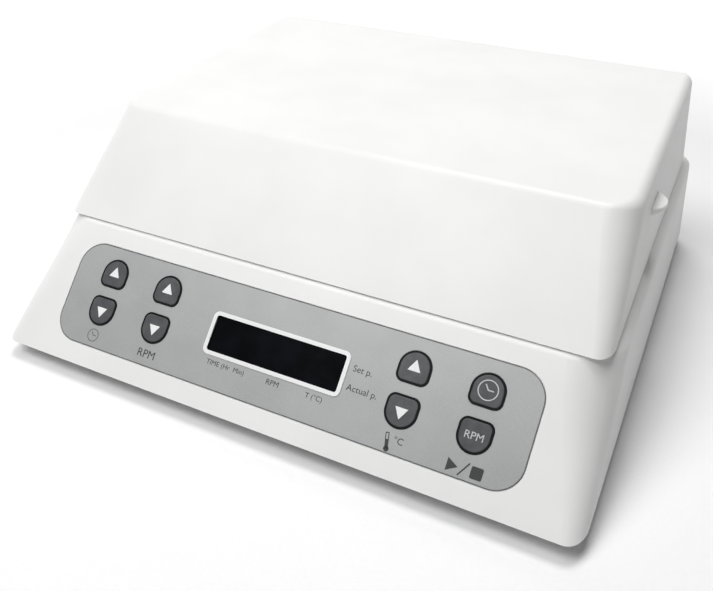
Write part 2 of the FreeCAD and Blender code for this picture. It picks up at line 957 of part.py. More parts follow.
def lid_barrel(side):
    """Moving barrel between the two fixed lugs, joined to the lid's rear wall."""
    x0 = side * hinge_side - hinge_length / 2 + hinge_lug + hinge_gap
    x1 = x0 + hinge_length - 2 * (hinge_lug + hinge_gap)
    y = centred(hinge_back)
    z = raised(hinge_height)
    barrel = cross_rod(hinge_radius, x0, x1, y, z)
    web = box(x0, x1, centred(lid_back) - lid_wall / 2, y, raised(lid_low), z + hinge_radius)
    return barrel.fuse(web)


def lid_liner():
    """Thin inner skin of the lid; a flange at its foot closes the double wall."""
    outer_inset = lid_wall + liner_gap
    skin = lid_form(outer_inset).cut(lid_form(outer_inset + liner_wall, overcut))
    high = raised(lid_low + liner_wall)
    low = raised(lid_low)
    ledge = lid_form(lid_wall + fit_gap).cut(lid_form(outer_inset + liner_wall, overcut))
    ledge = ledge.common(box(-base_width, base_width, -base_depth, base_depth, low, high))
    return drilled_at_lid_top(fuse([skin, ledge]))


def lid_top_tilt():
    return math.degrees(math.atan2(lid_top_height - ridge_height, lid_top_back - ridge_back))


def at_lid_top(shape):
    """Places a shape modelled flat: z out of the lid's top, y along it to the rear."""
    placed = shape.copy()
    placed.rotate(Vec(0, 0, 0), X_AXIS, lid_top_tilt())
    middle_back = (ridge_back + lid_top_back) / 2
    middle_height = (ridge_height + lid_top_height) / 2
    placed.translate(Vec(0, centred(middle_back), raised(middle_height)))
    return placed


def lid_plate_low():
    """Depth of the heater plate's underside below the lid's top."""
    return lid_wall + liner_gap + liner_wall + heater_mat_thickness + heater_plate_thickness


def drilled_at_lid_top(shape):
    """The shape with the clearance holes of the lid's screws."""
    for x, y in lid_bosses:
        hole = rod(small_screw_radius + screw_play, x, y, -lid_plate_low() - 1, -lid_wall - liner_gap)
        shape = shape.cut(at_lid_top(hole))
    return shape


def lid_screws():
    """Screws that hold the heater plate and the liner to the lid's bosses."""
    screws = []
    seat = -lid_plate_low()
    for x, y in lid_bosses:
        screws.append(at_lid_top(screw(x, y, seat, -seat - lid_wall - lid_screw_end_gap)))
    return Part.makeCompound(screws)


def under_lid(thickness, depth_below, margin):
    """Plate parallel to the lid's top, at a depth below the outer skin."""
    length = (lid_top_back - ridge_back) / cos(lid_top_tilt()) - 2 * margin
    width = 2 * lid_half_at(lid_top_height) - 2 * margin
    plate = slab(width, length, heater_corner_radius, -depth_below - thickness, -depth_below)
    return drilled_at_lid_top(at_lid_top(plate))


def lid_heater_mat():
    depth = lid_wall + liner_gap + liner_wall
    return under_lid(heater_mat_thickness, depth, heater_edge_margin + heater_mat_margin)


def lid_heater_plate():
    depth = lid_wall + liner_gap + liner_wall + heater_mat_thickness
    return under_lid(heater_plate_thickness, depth, heater_edge_margin)


def chamber_tray():
    """Pressed pan that lines the well and hangs by its flange in the rim's rebate."""
    high = raised(rim_height)
    low = raised(tray_floor_height)
    y = centred(well_middle)
    full = 2 * tray_wall
    outer = slab(
        well_width + full, well_depth + full, well_corner_radius + tray_wall, low, high, 0, y
    )
    inner = slab(well_width, well_depth, well_corner_radius, low + tray_wall, high + 1, 0, y)
    reach = 2 * (tray_wall + tray_flange)
    flange = slab(
        well_width + reach,
        well_depth + reach,
        well_corner_radius + reach / 2,
        high - tray_wall,
        high,
        0,
        y,
    )
    pan = outer.fuse(flange).cut(inner)
    middle_hole = weight_hub_radius + tray_shaft_gap
    pan = pan.cut(rod(middle_hole, 0, drive_y, low - 1, low + tray_wall + 1))
    for _, sx, sy in idlers:
        x = sx * idler_side
        yc = drive_y + sy * idler_end
        hole = idler_bush_flange_radius + tray_idler_gap
        pan = pan.cut(rod(hole, x, yc, low - 1, low + tray_wall + 1))
    return pan.removeSplitter()


def lid_seal():
    high = raised(rim_height)
    return ring_slab(
        seal_outer_width,
        seal_outer_depth,
        seal_outer_radius,
        seal_width,
        high - seal_groove_depth,
        high + seal_stand,
        0,
        centred(well_middle),
    )


def panel_overlay():
    """Grey fascia with openings for the keys and the display."""
    plate = slab(
        panel_width, panel_height, panel_corner_radius, -panel_thickness, 0, 0, panel_up
    )
    cuts = [key_prism(key_gap, -1, 1, x, up, turn) for _, x, up, turn in keys]
    cuts.append(slab(
        display_width + 2 * display_fit,
        display_height + 2 * display_fit,
        display_corner_radius,
        -1,
        1,
        0,
        panel_up,
    ))
    return on_slope(plate.cut(cuts[0].multiFuse(cuts[1:])))


def display_frame():
    """Raised white border round the display, on the fascia."""
    frame = ring_slab(
        display_width + 2 * display_border,
        display_height + 2 * display_border,
        display_corner_radius + display_border,
        display_border,
        0,
        display_border_stand,
        0,
        panel_up,
    )
    return on_slope(frame)


def display_window():
    top = -display_window_depth
    pane = slab(
        display_width,
        display_height,
        display_window_corner,
        top - display_window_thickness,
        top,
        0,
        panel_up,
    )
    return on_slope(pane)


def display_module():
    """Liquid crystal cell in its metal frame, on the control board."""
    high = -shell_wall - key_rest_gap
    body = box(
        -display_module_length / 2,
        display_module_length / 2,
        panel_up - display_module_height / 2,
        panel_up + display_module_height / 2,
        -board_depth,
        high,
    )
    cell = slab(
        display_width - 2 * display_fit,
        display_height - 2 * display_fit,
        display_cell_corner,
        high,
        -display_window_depth - display_window_thickness - key_rest_gap,
        0,
        panel_up,
    )
    return on_slope(body.fuse(cell).removeSplitter())


def control_board():
    board = slab(
        board_width,
        board_top - board_bottom,
        board_corner_radius,
        -board_depth - board_thickness,
        -board_depth,
        0,
        (board_top + board_bottom) / 2,
    )
    for x, up in board_bosses:
        low = -board_depth - board_thickness - 1
        board = board.cut(rod(small_screw_radius + screw_play, x, up, low, -board_depth + 1))
    return on_slope(board)


def screw(x, y, seat, length, radius=small_screw_radius, head=small_screw_head):
    """Screw that points up +Z: a head below the seat plane, with a cross recess."""
    shank = rod(radius, x, y, seat, seat + length)
    low = seat - small_screw_head_height
    cap = rod(head, x, y, low, seat)
    reach = head - 2 * screw_cross_width
    half = screw_cross_width / 2
    bottom = low - 1
    floor = low + small_screw_head_height / 2
    cross = box(x - reach, x + reach, y - half, y + half, bottom, floor)
    cross = cross.fuse(box(x - half, x + half, y - reach, y + reach, bottom, floor))
    return shank.fuse(cap).cut(cross).removeSplitter()


def board_screws():
    screws = []
    seat = -board_depth - board_thickness
    for x, up in board_bosses:
        screws.append(on_slope(screw(x, up, seat, small_screw_length)))
    return Part.makeCompound(screws)


def key_switches():
    """Tactile switches on the control board, one behind each key."""
    switches = []
    for _, x, up, _ in keys:
        half = switch_size / 2
        body = box(x - half, x + half, up - half, up + half, -board_depth, switch_top)
        floor = key_stem_low - key_travel - key_rest_gap
        well = rod(key_stem_radius + key_stem_fit, x, up, floor, switch_top + 1)
        switches.append(on_slope(body.cut(well)))
    return Part.makeCompound(switches)


def keycap(x, up, turn):
    """Key with a rounded rim, a flange that keeps it in the shell and a stem in its switch."""
    body = key_prism(0, flange_low, key_stand, x, up, turn)
    body = body.makeFillet(key_edge_radius, top_face(body).Edges)
    stem = rod(key_stem_radius, x, up, key_stem_low, flange_low)
    flange = key_prism(key_flange, flange_low, flange_low + key_flange_thickness, x, up, turn)
    return on_slope(fuse([body, stem, flange]))


def bottom_plate():
    """Folded steel floor that closes the housing from below."""
    inner = base_form(shell_wall + bottom_clearance, overcut)
    layer = box(-base_width, base_width, -base_depth, base_depth, raised(0), raised(bottom_thickness))
    plate = inner.common(layer)
    for x, back in columns:
        y = centred(back)
        plate = plate.cut(rod(column_screw_radius + screw_play, x, y, 0, raised(bottom_thickness) + 1))
    for x, y in feet:
        hole = foot_screw_radius + foot_screw_clearance
        plate = plate.cut(rod(hole, x, y, 0, raised(bottom_thickness) + 1))
    for x, y in deck_posts:
        plate = plate.cut(rod(small_screw_radius + screw_play, x, y, 0, raised(bottom_thickness) + 1))
    for side in sides:
        for index in range(floor_vent_count):
            place = index - (floor_vent_count - 1) / 2
            plate = plate.cut(slab(
                floor_vent_length,
                floor_vent_width,
                floor_vent_width / 2 - round_end_trim,
                0,
                raised(bottom_thickness) + 1,
                side * floor_vent_gap,
                drive_y + place * floor_vent_pitch,
            ))
    return plate


def bottom_screws():
    screws = []
    for x, back in columns:
        screws.append(screw(x, centred(back), raised(0), bottom_thickness + small_screw_length))
    for x, y in deck_posts:
        screws.append(screw(x, y, raised(0), bottom_thickness + small_screw_length))
    return Part.makeCompound(screws)


def rubber_feet():
    """Four tapered feet, each with a recess for its screw's head."""
    profile = [
        (foot_screw_radius + foot_screw_clearance, foot_recess_depth),
        (foot_recess_radius, foot_recess_depth),
        (foot_recess_radius, 0),
        (foot_radius - foot_taper - foot_edge, 0),
        (foot_radius - foot_taper, foot_edge),
        (foot_radius, foot_height),
        (foot_screw_radius + foot_screw_clearance, foot_height),
    ]
    return Part.makeCompound([turned(profile, x, y) for x, y in feet])


def foot_screws():
    """Screws through the feet, each with its nut on the floor's upper face."""
    pieces = []
    top = raised(bottom_thickness)
    head_low = foot_recess_depth - foot_screw_head_height
    for x, y in feet:
        shank = rod(foot_screw_radius, x, y, foot_recess_depth, top + foot_nut_height + foot_screw_end)
        head = rod(foot_recess_radius - foot_screw_head_gap, x, y, head_low, foot_recess_depth)
        sides_of_nut = [
            Vec(x + foot_nut_radius * cos(a), y + foot_nut_radius * sin(a), top)
            for a in range(0, 361, 60)
        ]
        nut = Part.Face(Part.makePolygon(sides_of_nut)).extrude(Vec(0, 0, foot_nut_height))
        pieces.append(shank.fuse(head).fuse(nut))
    return Part.makeCompound(pieces)


def drive_deck():
    """Stiff plate on four posts that carries the motor and the idler bushes."""
    low = raised(deck_height)
    high = low + deck_thickness
    deck = slab(deck_width, deck_depth, deck_corner_radius, low, high, 0, drive_y)
    deck = deck.cut(rod(bearing_radius + housing_wall + fit_gap, 0, drive_y, low - 1, high + 1))
    for _, sx, sy in idlers:
        x = sx * idler_side
        deck = deck.cut(rod(idler_bush_radius, x, drive_y + sy * idler_end, low - 1, high + 1))
    for x, y in deck_posts:
        deck = deck.fuse(rod(deck_post_radius, x, y, raised(bottom_thickness), low))
        top = raised(bottom_thickness + small_screw_length)
        deck = deck.cut(rod(small_screw_radius, x, y, 0, top))
    return deck.removeSplitter()


def bearing_housing():
    """Flanged sleeve in the deck with a seat for a bearing at each end."""
    outer = bearing_radius + housing_wall
    low = raised(housing_low)
    high = raised(housing_top)
    deck_top = raised(deck_height + deck_thickness)
    sleeve = rod(outer, 0, drive_y, low, high)
    flange = rod(housing_flange_radius, 0, drive_y, deck_top, deck_top + housing_flange_height)
    body = sleeve.fuse(flange)
    body = body.cut(rod(bearing_radius, 0, drive_y, low - 1, low + bearing_floor + bearing_height))
    body = body.cut(rod(bearing_radius, 0, drive_y, high - bearing_height, high + 1))
    body = body.cut(rod(shaft_radius + housing_shaft_room, 0, drive_y, low - 1, high + 1))
    return body.removeSplitter()


def ball_bearing(bore, outer, height, x, y, z):
    """Sealed bearing as one ring with the step of its shield on both faces."""
    rim = (outer - bore) * bearing_ring_share
    dip = bearing_shield_dip
    profile = [
        (bore, z),
        (bore + rim, z),
        (bore + rim, z + dip),
        (outer - rim, z + dip),
        (outer - rim, z),
        (outer, z),
        (outer, z + height),
        (outer - rim, z + height),
        (outer - rim, z + height - dip),
        (bore + rim, z + height - dip),
        (bore + rim, z + height),
        (bore, z + height),
    ]
    return turned(profile, x, y)


def shaft_bearings():
    bore = shaft_radius + bearing_clearance
    lower = raised(housing_low + bearing_floor)
    upper = raised(housing_top - bearing_height)
    rings = [
        ball_bearing(bore, bearing_radius, bearing_height, 0, drive_y, z) for z in (lower, upper)
    ]
    return Part.makeCompound(rings)


def motor_stator():
    """Laminated ring with wound teeth, round the bearing housing."""
    low = raised(stator_low)
    high = low + stator_height
    hub = bearing_radius + housing_wall
    core = tube(hub + stator_core, hub, 0, drive_y, low, high)
    teeth = []
    pitch = 360.0 / stator_teeth
    inner = stator_radius - stator_shoe
    for index in range(stator_teeth):
        half = stator_stem_width / 2
        stem = box(hub + stator_core / 2, inner + stator_shoe / 2, -half, half, low + half, high - half)
        half = stator_coil_width / 2
        coil = box(hub + stator_core + fit_gap, inner - fit_gap, -half, half, low, high)
        shoe = tube(stator_radius, inner, 0, 0, low + stator_shoe_inset, high - stator_shoe_inset)
        half = stator_shoe_width / 2
        shoe = shoe.common(box(0, stator_radius + 1, -half, half, low, high))
        tooth = stem.fuse(coil).fuse(shoe)
        tooth.rotate(Vec(0, 0, 0), Z_AXIS, pitch * index)
        tooth.translate(Vec(0, drive_y, 0))
        teeth.append(tooth)
    return fuse([core] + teeth)


def motor_rotor():
    """Outer rotor bell, open upwards, fixed to the shaft's lower end."""
    inner = stator_radius + rotor_gap
    outer = inner + rotor_wall
    low = rotor_low
    top = stator_low + stator_height
    hub = shaft_radius + rotor_hub_wall
    hub_top = housing_low - rotor_hub_gap
    profile = [
        (shaft_radius, raised(low)),
        (outer - rotor_chamfer, raised(low)),
        (outer, raised(low + rotor_chamfer)),
        (outer, raised(top)),
        (inner, raised(top)),
        (inner, raised(low + rotor_floor)),
        (hub, raised(low + rotor_floor)),
        (hub, raised(hub_top)),
        (shaft_radius, raised(hub_top)),
    ]
    return turned(profile, 0, drive_y)


def eccentric_shaft():
    """Main shaft; its top pin stands off the axis by the orbit's radius."""
    x = orbit_radius
    main = rod(shaft_radius, 0, drive_y, raised(rotor_low), raised(shaft_top))
    pin = rod(eccentric_radius, x, drive_y, raised(shaft_top), raised(hub_bearing_top))
    shoulder_top = raised(hub_bearing_low - bearing_clearance)
    shoulder_radius = eccentric_radius + eccentric_shoulder
    shoulder = rod(shoulder_radius, x, drive_y, raised(shaft_top), shoulder_top)
    wide = shaft_radius + shaft_collar
    base = rod(wide, 0, drive_y, raised(shaft_top), raised(shaft_top) + shaft_collar_height)
    collar_low = raised(housing_top + bearing_clearance)
    collar = rod(wide, 0, drive_y, collar_low, raised(weight_low))
    return fuse([main, pin, shoulder, base, collar])


def counterweight():
    """Half disc opposite the eccentric pin, clamped on the shaft by its hub."""
    low = raised(weight_low)
    high = low + weight_thickness
    hub = rod(weight_hub_radius, 0, drive_y, low, high)
    disc = rod(weight_radius, 0, drive_y, low, high)
    half = box(-weight_radius - 1, 0, drive_y - weight_radius, drive_y + weight_radius, low, high)
    body = disc.common(half).fuse(hub)
    body = body.cut(rod(shaft_radius, 0, drive_y, low - 1, high + 1))
    return body.removeSplitter()


def idler_bushes():
    """Flanged bushes in the deck for the idler cranks."""
    bushes = []
    low = raised(deck_height)
    high = raised(deck_height + deck_thickness)
    for _, sx, sy in idlers:
        x = sx * idler_side
        y = drive_y + sy * idler_end
        sleeve = rod(idler_bush_radius, x, y, low, high)
        flange = rod(idler_bush_flange_radius, x, y, high, high + idler_bush_flange_height)
        bore = rod(idler_shaft_radius + pin_clearance, x, y, low - 1, high + 5)
        bushes.append(sleeve.fuse(flange).cut(bore).removeSplitter())
    return Part.makeCompound(bushes)


def idler_crank(sx, sy):
    """Idler: a shaft in the deck, a disc, and a pin off the axis by the orbit's radius."""
    x = sx * idler_side
    y = drive_y + sy * idler_end
    tail_top = deck_height - idler_gap
    tail = rod(idler_collar_radius, x, y, raised(tail_top - idler_tail_thickness), raised(tail_top))
    shaft = rod(idler_shaft_radius, x, y, raised(tail_top), raised(weight_low))
    collar_low = raised(bush_top + pin_clearance)
    collar = rod(idler_collar_radius, x, y, collar_low, raised(weight_low))
    disc_top = weight_low + idler_disc_thickness
    disc = rod(idler_disc_radius, x, y, raised(weight_low), raised(disc_top))
    pin_top = platform_height + platform_thickness - 2 * platform_skin
    pin = rod(idler_pin_radius, x + orbit_radius, y, raised(disc_top), raised(pin_top))
    return fuse([tail, shaft, collar, disc, pin])


def platform_bushes():
    """Plain bushes in the platform, over the idler pins."""
    bushes = []
    low = raised(platform_height)
    high = raised(platform_height + platform_thickness - platform_skin)
    for _, sx, sy in idlers:
        x = sx * idler_side + orbit_radius
        y = drive_y + sy * idler_end
        bush = tube(platform_bush_radius, idler_pin_radius + pin_clearance, x, y, low, high)
        bushes.append(bush)
    return Part.makeCompound(bushes)


def platform():
    """Heated platform: a plate with a hub for its bearing and seats for the bushes."""
    low = raised(platform_height)
    high = low + platform_thickness
    x = orbit_radius
    deck = slab(
        platform_width, platform_depth, platform_corner_radius, low, high, x, drive_y
    )
    hub = rod(platform_hub_radius, x, drive_y, low - platform_hub_drop, high)
    body = deck.fuse(hub)
    seat_top = raised(hub_bearing_top)
    body = body.cut(rod(hub_bearing_radius, x, drive_y, low - platform_hub_drop - 1, seat_top))
    pin_room = eccentric_radius + platform_pin_room
    body = body.cut(rod(pin_room, x, drive_y, seat_top, high - platform_skin))
    for _, ix, iy in idlers:
        px = x + ix * idler_side
        py = drive_y + iy * idler_end
        body = body.cut(rod(platform_bush_radius, px, py, low - 1, high - platform_skin))
    for px, py in clamp_screw_places():
        body = body.cut(rod(clamp_screw_radius, px, py, high - clamp_screw_depth, high + 1))
    return body.removeSplitter()


def standing_bar(x0, x1, y0, y1, low, height, edge):
    """Straight bar with a rounded upper edge; the corners may come in any order."""
    bar = box(min(x0, x1), max(x0, x1), min(y0, y1), max(y0, y1), low, low + height)
    return bar.makeFillet(edge, top_face(bar).Edges)


def plate_stops():
    """Rail between the two nests and the stops at the ends of each microplate."""
    high = raised(platform_height + platform_thickness)
    half = plate_rail_width / 2
    nest = (plate_length + plate_play) / 2
    x = orbit_radius
    y0 = drive_y - nest
    y1 = drive_y + nest
    pieces = [standing_bar(x - half, x + half, y0, y1, high, rail_height, rail_edge_radius)]
    for sx, sy in corners:
        for start in (half + stop_margin, half + plate_width - stop_margin - stop_length):
            pieces.append(standing_bar(
                x + sx * start,
                x + sx * (start + stop_length),
                drive_y + sy * nest,
                drive_y + sy * (nest + stop_width),
                high,
                rail_height,
                stop_edge_radius,
            ))
    return Part.makeCompound(pieces)


def nest_mats():
    """Two grip mats, on which the microplates stand."""
    low = raised(platform_height + platform_thickness)
    width = plate_width - clamp_bite - 2 * mat_gap
    mats = []
    for side in sides:
        x = orbit_radius + side * (plate_rail_width / 2 + mat_gap + width / 2)
        mats.append(slab(
            width, plate_length - 2 * mat_gap, mat_corner_radius, low, low + mat_thickness, x, drive_y
        ))
    return Part.makeCompound(mats)


def clamp_inner(side):
    """X of a resting clamp's inner face; it would bite a plate's edge by clamp_bite."""
    return orbit_radius + side * (plate_rail_width / 2 + plate_width - clamp_bite)


def clamp_screw_places():
    places = []
    for side in sides:
        x = clamp_inner(side) + side * (clamp_width - clamp_screw_inset)
        for s in sides:
            places.append((x, drive_y + s * clamp_screw_side))
    return places


def platform_bearing():
    low = raised(hub_bearing_low)
    bore = eccentric_radius + bearing_clearance
    return ball_bearing(
        bore, hub_bearing_radius, hub_bearing_height, orbit_radius, drive_y, low
    )


def platform_heaters():
    """Two heating mats bonded under the platform."""
    low = raised(platform_height)
    width = platform_width / 2 - platform_heater_side_margin - platform_heater_middle_gap
    mats = []
    for side in sides:
        mats.append(slab(
            width,
            platform_depth - 2 * platform_heater_end_margin,
            platform_heater_corner_radius,
            low - platform_heater_thickness,
            low,
            orbit_radius + side * (platform_heater_middle_gap + width / 2),
            drive_y,
        ))
    return Part.makeCompound(mats)


def clamp_bar(side):
    """Sliding side clamp with a slot over each shoulder screw and a raised thumb grip."""
    low = raised(platform_height + platform_thickness) + clamp_gap
    inner = clamp_inner(side)
    outer = inner + side * clamp_width
    half = clamp_length / 2
    edge = clamp_edge_radius
    bar = standing_bar(inner, outer, drive_y - half, drive_y + half, low, clamp_height, edge)
    grip = standing_bar(
        inner + side * 2 * edge,
        outer - side * edge,
        drive_y - clamp_grip_length / 2,
        drive_y + clamp_grip_length / 2,
        low + clamp_height - edge,
        clamp_grip_rise + edge,
        edge,
    )
    bar = bar.fuse(grip)
    radius = clamp_screw_radius + clamp_slot_fit
    start = outer - side * clamp_screw_inset
    length = clamp_travel + 2 * radius
    for s in sides:
        bar = bar.cut(slab(
            length,
            2 * radius,
            radius - round_end_trim,
            low - 1,
            low + clamp_height + 1,
            start - side * clamp_travel / 2,
            drive_y + s * clamp_screw_side,
        ))
    return bar.removeSplitter()


def clamp_screws():
    """Shoulder screws that guide the clamps."""
    high = raised(platform_height + platform_thickness)
    seat = high + clamp_height + 2 * clamp_gap
    pieces = []
    for x, y in clamp_screw_places():
        shank = rod(clamp_screw_radius, x, y, high - clamp_screw_depth, seat)
        head = rod(clamp_screw_head, x, y, seat, seat + clamp_screw_head_height)
        pieces.append(shank.fuse(head).removeSplitter())
    return Part.makeCompound(pieces)


def rear_screw_places():
    """Places of the rear panel's screws: x across, height up the rear wall."""
    inset = rear_panel_lip / 2
    places = []
    for share in (-1.0, -1.0 / 3, 1.0 / 3, 1.0):
        for s in sides:
            x = share * (rear_panel_width / 2 - inset)
            places.append((x, rear_panel_up + s * (rear_panel_height / 2 - inset)))
    return places


def rear_panel():
    """Plate in the rear window with openings for the inlet, fuse, switch and vents."""
    panel = slab(
        rear_panel_width,
        rear_panel_height,
        rear_panel_corner_radius,
        rear_face - rear_panel_thickness,
        rear_face,
        0,
        rear_panel_up,
    )
    up = rear_panel_up
    deep = rear_face - 2 * rear_panel_thickness
    cuts = [
        slab(
            inlet_body_width + 2 * fit_gap,
            inlet_body_height + 2 * fit_gap,
            inlet_body_corner,
            deep,
            1,
            -inlet_side,
            up,
        ),
        rod(fuse_body_radius + fit_gap, -fuse_side, up, deep, 1),
        slab(
            rocker_body_width + 2 * fit_gap,
            rocker_body_height + 2 * fit_gap,
            rocker_cutout_corner,
            deep,
            1,
            -switch_side,
            up,
        ),
    ]
    for index in range(vent_count):
        x = -vent_side + (index - (vent_count - 1) / 2) * vent_pitch
        cuts.append(slab(vent_width, vent_height, vent_width / 2 - round_end_trim, deep, 1, x, up))
    for x, y in rear_screw_places():
        cuts.append(rod(rear_screw_radius + screw_play, x, y, deep, 1))
    return on_rear(panel.cut(cuts[0].multiFuse(cuts[1:])))


def rear_screws():
    """Screws of the rear panel, with their heads on its face."""
    pieces = []
    for x, y in rear_screw_places():
        shank = rod(rear_screw_radius, x, y, -rear_screw_length, rear_face)
        head = rod(rear_screw_head, x, y, rear_face, rear_face + rear_screw_head_height)
        pieces.append(on_rear(shank.fuse(head).removeSplitter()))
    return Part.makeCompound(pieces)


def socket_outline(width, height, chamfer, z):
    """Six-sided outline of an appliance inlet: its upper corners are cut off."""
    a = width / 2
    b = height / 2
    points = [
        Vec(-a, -b, z),
        Vec(a, -b, z),
        Vec(a, b - chamfer, z),
        Vec(a - chamfer, b, z),
        Vec(-a + chamfer, b, z),
        Vec(-a, b - chamfer, z),
        Vec(-a, -b, z),
    ]
    return Part.Face(Part.makePolygon(points))


def power_inlet():
    """Appliance inlet with a flange, a hollow socket and three blades."""
    flange = slab(inlet_flange_width, inlet_flange_height, inlet_flange_corner, 0, inlet_flange_thickness)
    body = slab(inlet_body_width, inlet_body_height, inlet_body_corner, -inlet_body_depth, 0)
    whole = flange.fuse(body)
    floor = inlet_flange_thickness - inlet_socket_depth
    mouth = socket_outline(inlet_socket_width, inlet_socket_height, inlet_socket_chamfer, floor)
    whole = whole.cut(mouth.extrude(Vec(0, 0, inlet_socket_depth + 1)))
    side = inlet_pin_pitch / 2
    blades = [(-side, -inlet_pin_drop), (side, -inlet_pin_drop), (0, inlet_earth_up)]
    for x, y in blades:
        blade = box(
            x - inlet_pin_width / 2,
            x + inlet_pin_width / 2,
            y - inlet_pin_height / 2,
            y + inlet_pin_height / 2,
            floor - 1,
            floor + inlet_pin_length,
        )
        whole = whole.fuse(blade)
    whole = whole.removeSplitter()
    whole.translate(Vec(-inlet_side, rear_panel_up, rear_face))
    return on_rear(whole)


def fuse_holder():
    """Round fuse holder body with a collar on the panel."""
    body = rod(fuse_body_radius, 0, 0, -fuse_body_length, 0)
    collar = rod(fuse_collar_radius, 0, 0, 0, fuse_collar_thickness)
    whole = body.fuse(collar)
    floor = fuse_wall - fuse_body_length
    cavity = rod(fuse_cap_radius + fit_gap, 0, 0, floor, fuse_collar_thickness + 1)
    whole = whole.cut(cavity).removeSplitter()
    whole.translate(Vec(-fuse_side, rear_panel_up, rear_face))
    return on_rear(whole)


def fuse_cap():
    """Bayonet cap with a screwdriver slot."""
    high = fuse_collar_thickness + fuse_cap_stand
    cap = rod(fuse_cap_radius, 0, 0, fuse_wall - fuse_body_length, high)
    edge = [e for e in rim_edges(cap) if e.CenterOfMass.z > 0]
    cap = cap.makeFillet(fuse_cap_edge, edge)
    half = fuse_slot_width / 2
    reach = fuse_cap_radius - fuse_slot_width
    cap = cap.cut(box(-reach, reach, -half, half, high - fuse_slot_width, high + 1))
    cap.translate(Vec(-fuse_side, rear_panel_up, rear_face))
    return on_rear(cap)


def rocker_housing():
    """Snap-in switch body with a well for the rocker."""
    flange = slab(
        rocker_housing_width, rocker_housing_height, rocker_flange_corner, 0, rocker_flange
    )
    body = box(
        -rocker_body_width / 2,
        rocker_body_width / 2,
        -rocker_body_height / 2,
        rocker_body_height / 2,
        -rocker_body_depth,
        0,
    )
    whole = flange.fuse(body)
    gap = rocker_side_gap
    well = box(
        -rocker_width / 2 - gap,
        rocker_width / 2 + gap,
        -rocker_height / 2 - rocker_end_gap,
        rocker_height / 2 + rocker_end_gap,
        rocker_well_floor - rocker_body_depth,
        rocker_flange + 1,
    )
    whole = whole.cut(well).removeSplitter()
    whole.translate(Vec(-switch_side, rear_panel_up, rear_face))
    return on_rear(whole)


def power_rocker():
    """Rocker with two facets that meet over its axis; its lower half is pressed in."""
    axis = -rocker_axis_depth
    half = rocker_height / 2
    rise = rocker_flange + rocker_stand
    outline = [
        Vec(0, -half, axis - rocker_web),
        Vec(0, half, axis - rocker_web),
        Vec(0, half, rise),
        Vec(0, 0, rise - rocker_dip),
        Vec(0, -half, rise),
        Vec(0, -half, axis - rocker_web),
    ]
    prism = Part.Face(Part.makePolygon(outline)).extrude(Vec(rocker_width, 0, 0))
    prism.translate(Vec(-rocker_width / 2, 0, 0))
    hub = Part.makeCylinder(rocker_hub_radius, rocker_width, Vec(-rocker_width / 2, 0, axis), X_AXIS)
    rocker = prism.fuse(hub).removeSplitter()
    rocker.rotate(Vec(0, 0, axis), X_AXIS, rocker_tilt)
    rocker.translate(Vec(-switch_side, rear_panel_up, rear_face))
    return on_rear(rocker)


def supply_board():
    """Mains supply: a board on posts with its transformer, capacitor and heat sink."""
    low = raised(bottom_thickness + supply_standoff)
    high = low + supply_board_thickness
    x0 = supply_side - supply_length / 2
    x1 = supply_side + supply_length / 2
    y0 = centred(supply_back) - supply_depth / 2
    y1 = centred(supply_back) + supply_depth / 2
    pieces = [box(x0, x1, y0, y1, low, high)]
    inset = supply_post_inset
    for x in (x0 + inset, x1 - inset):
        for y in (y0 + inset, y1 - inset):
            pieces.append(rod(supply_post_radius, x, y, raised(bottom_thickness), low))
    top = high + supply_part_height
    y0 += supply_post_inset
    y1 -= supply_post_inset
    for start in supply_sinks:
        half = supply_sink_thickness / 2
        pieces.append(box(x0 + start - half, x0 + start + half, y0, y1, high, top))
    half = supply_transformer_length / 2
    middle = x0 + supply_transformer
    pieces.append(box(middle - half, middle + half, y0, y1, high, top))
    for start in supply_capacitors:
        pieces.append(rod(supply_capacitor_radius, x0 + start, (y0 + y1) / 2, high, top))
    return fuse(pieces)


def temperature_probe():
    """Sensor on the chamber's rear wall."""
    y = centred(well_back)
    z = raised((tray_floor_height + rim_height) / 2 + probe_rise)
    tip = Vec(well_width / 4, y - probe_length, z)
    stem = Part.makeCylinder(probe_radius, probe_length, tip, Y_AXIS)
    ball = Part.makeSphere(probe_radius, tip)
    return stem.fuse(ball).removeSplitter()


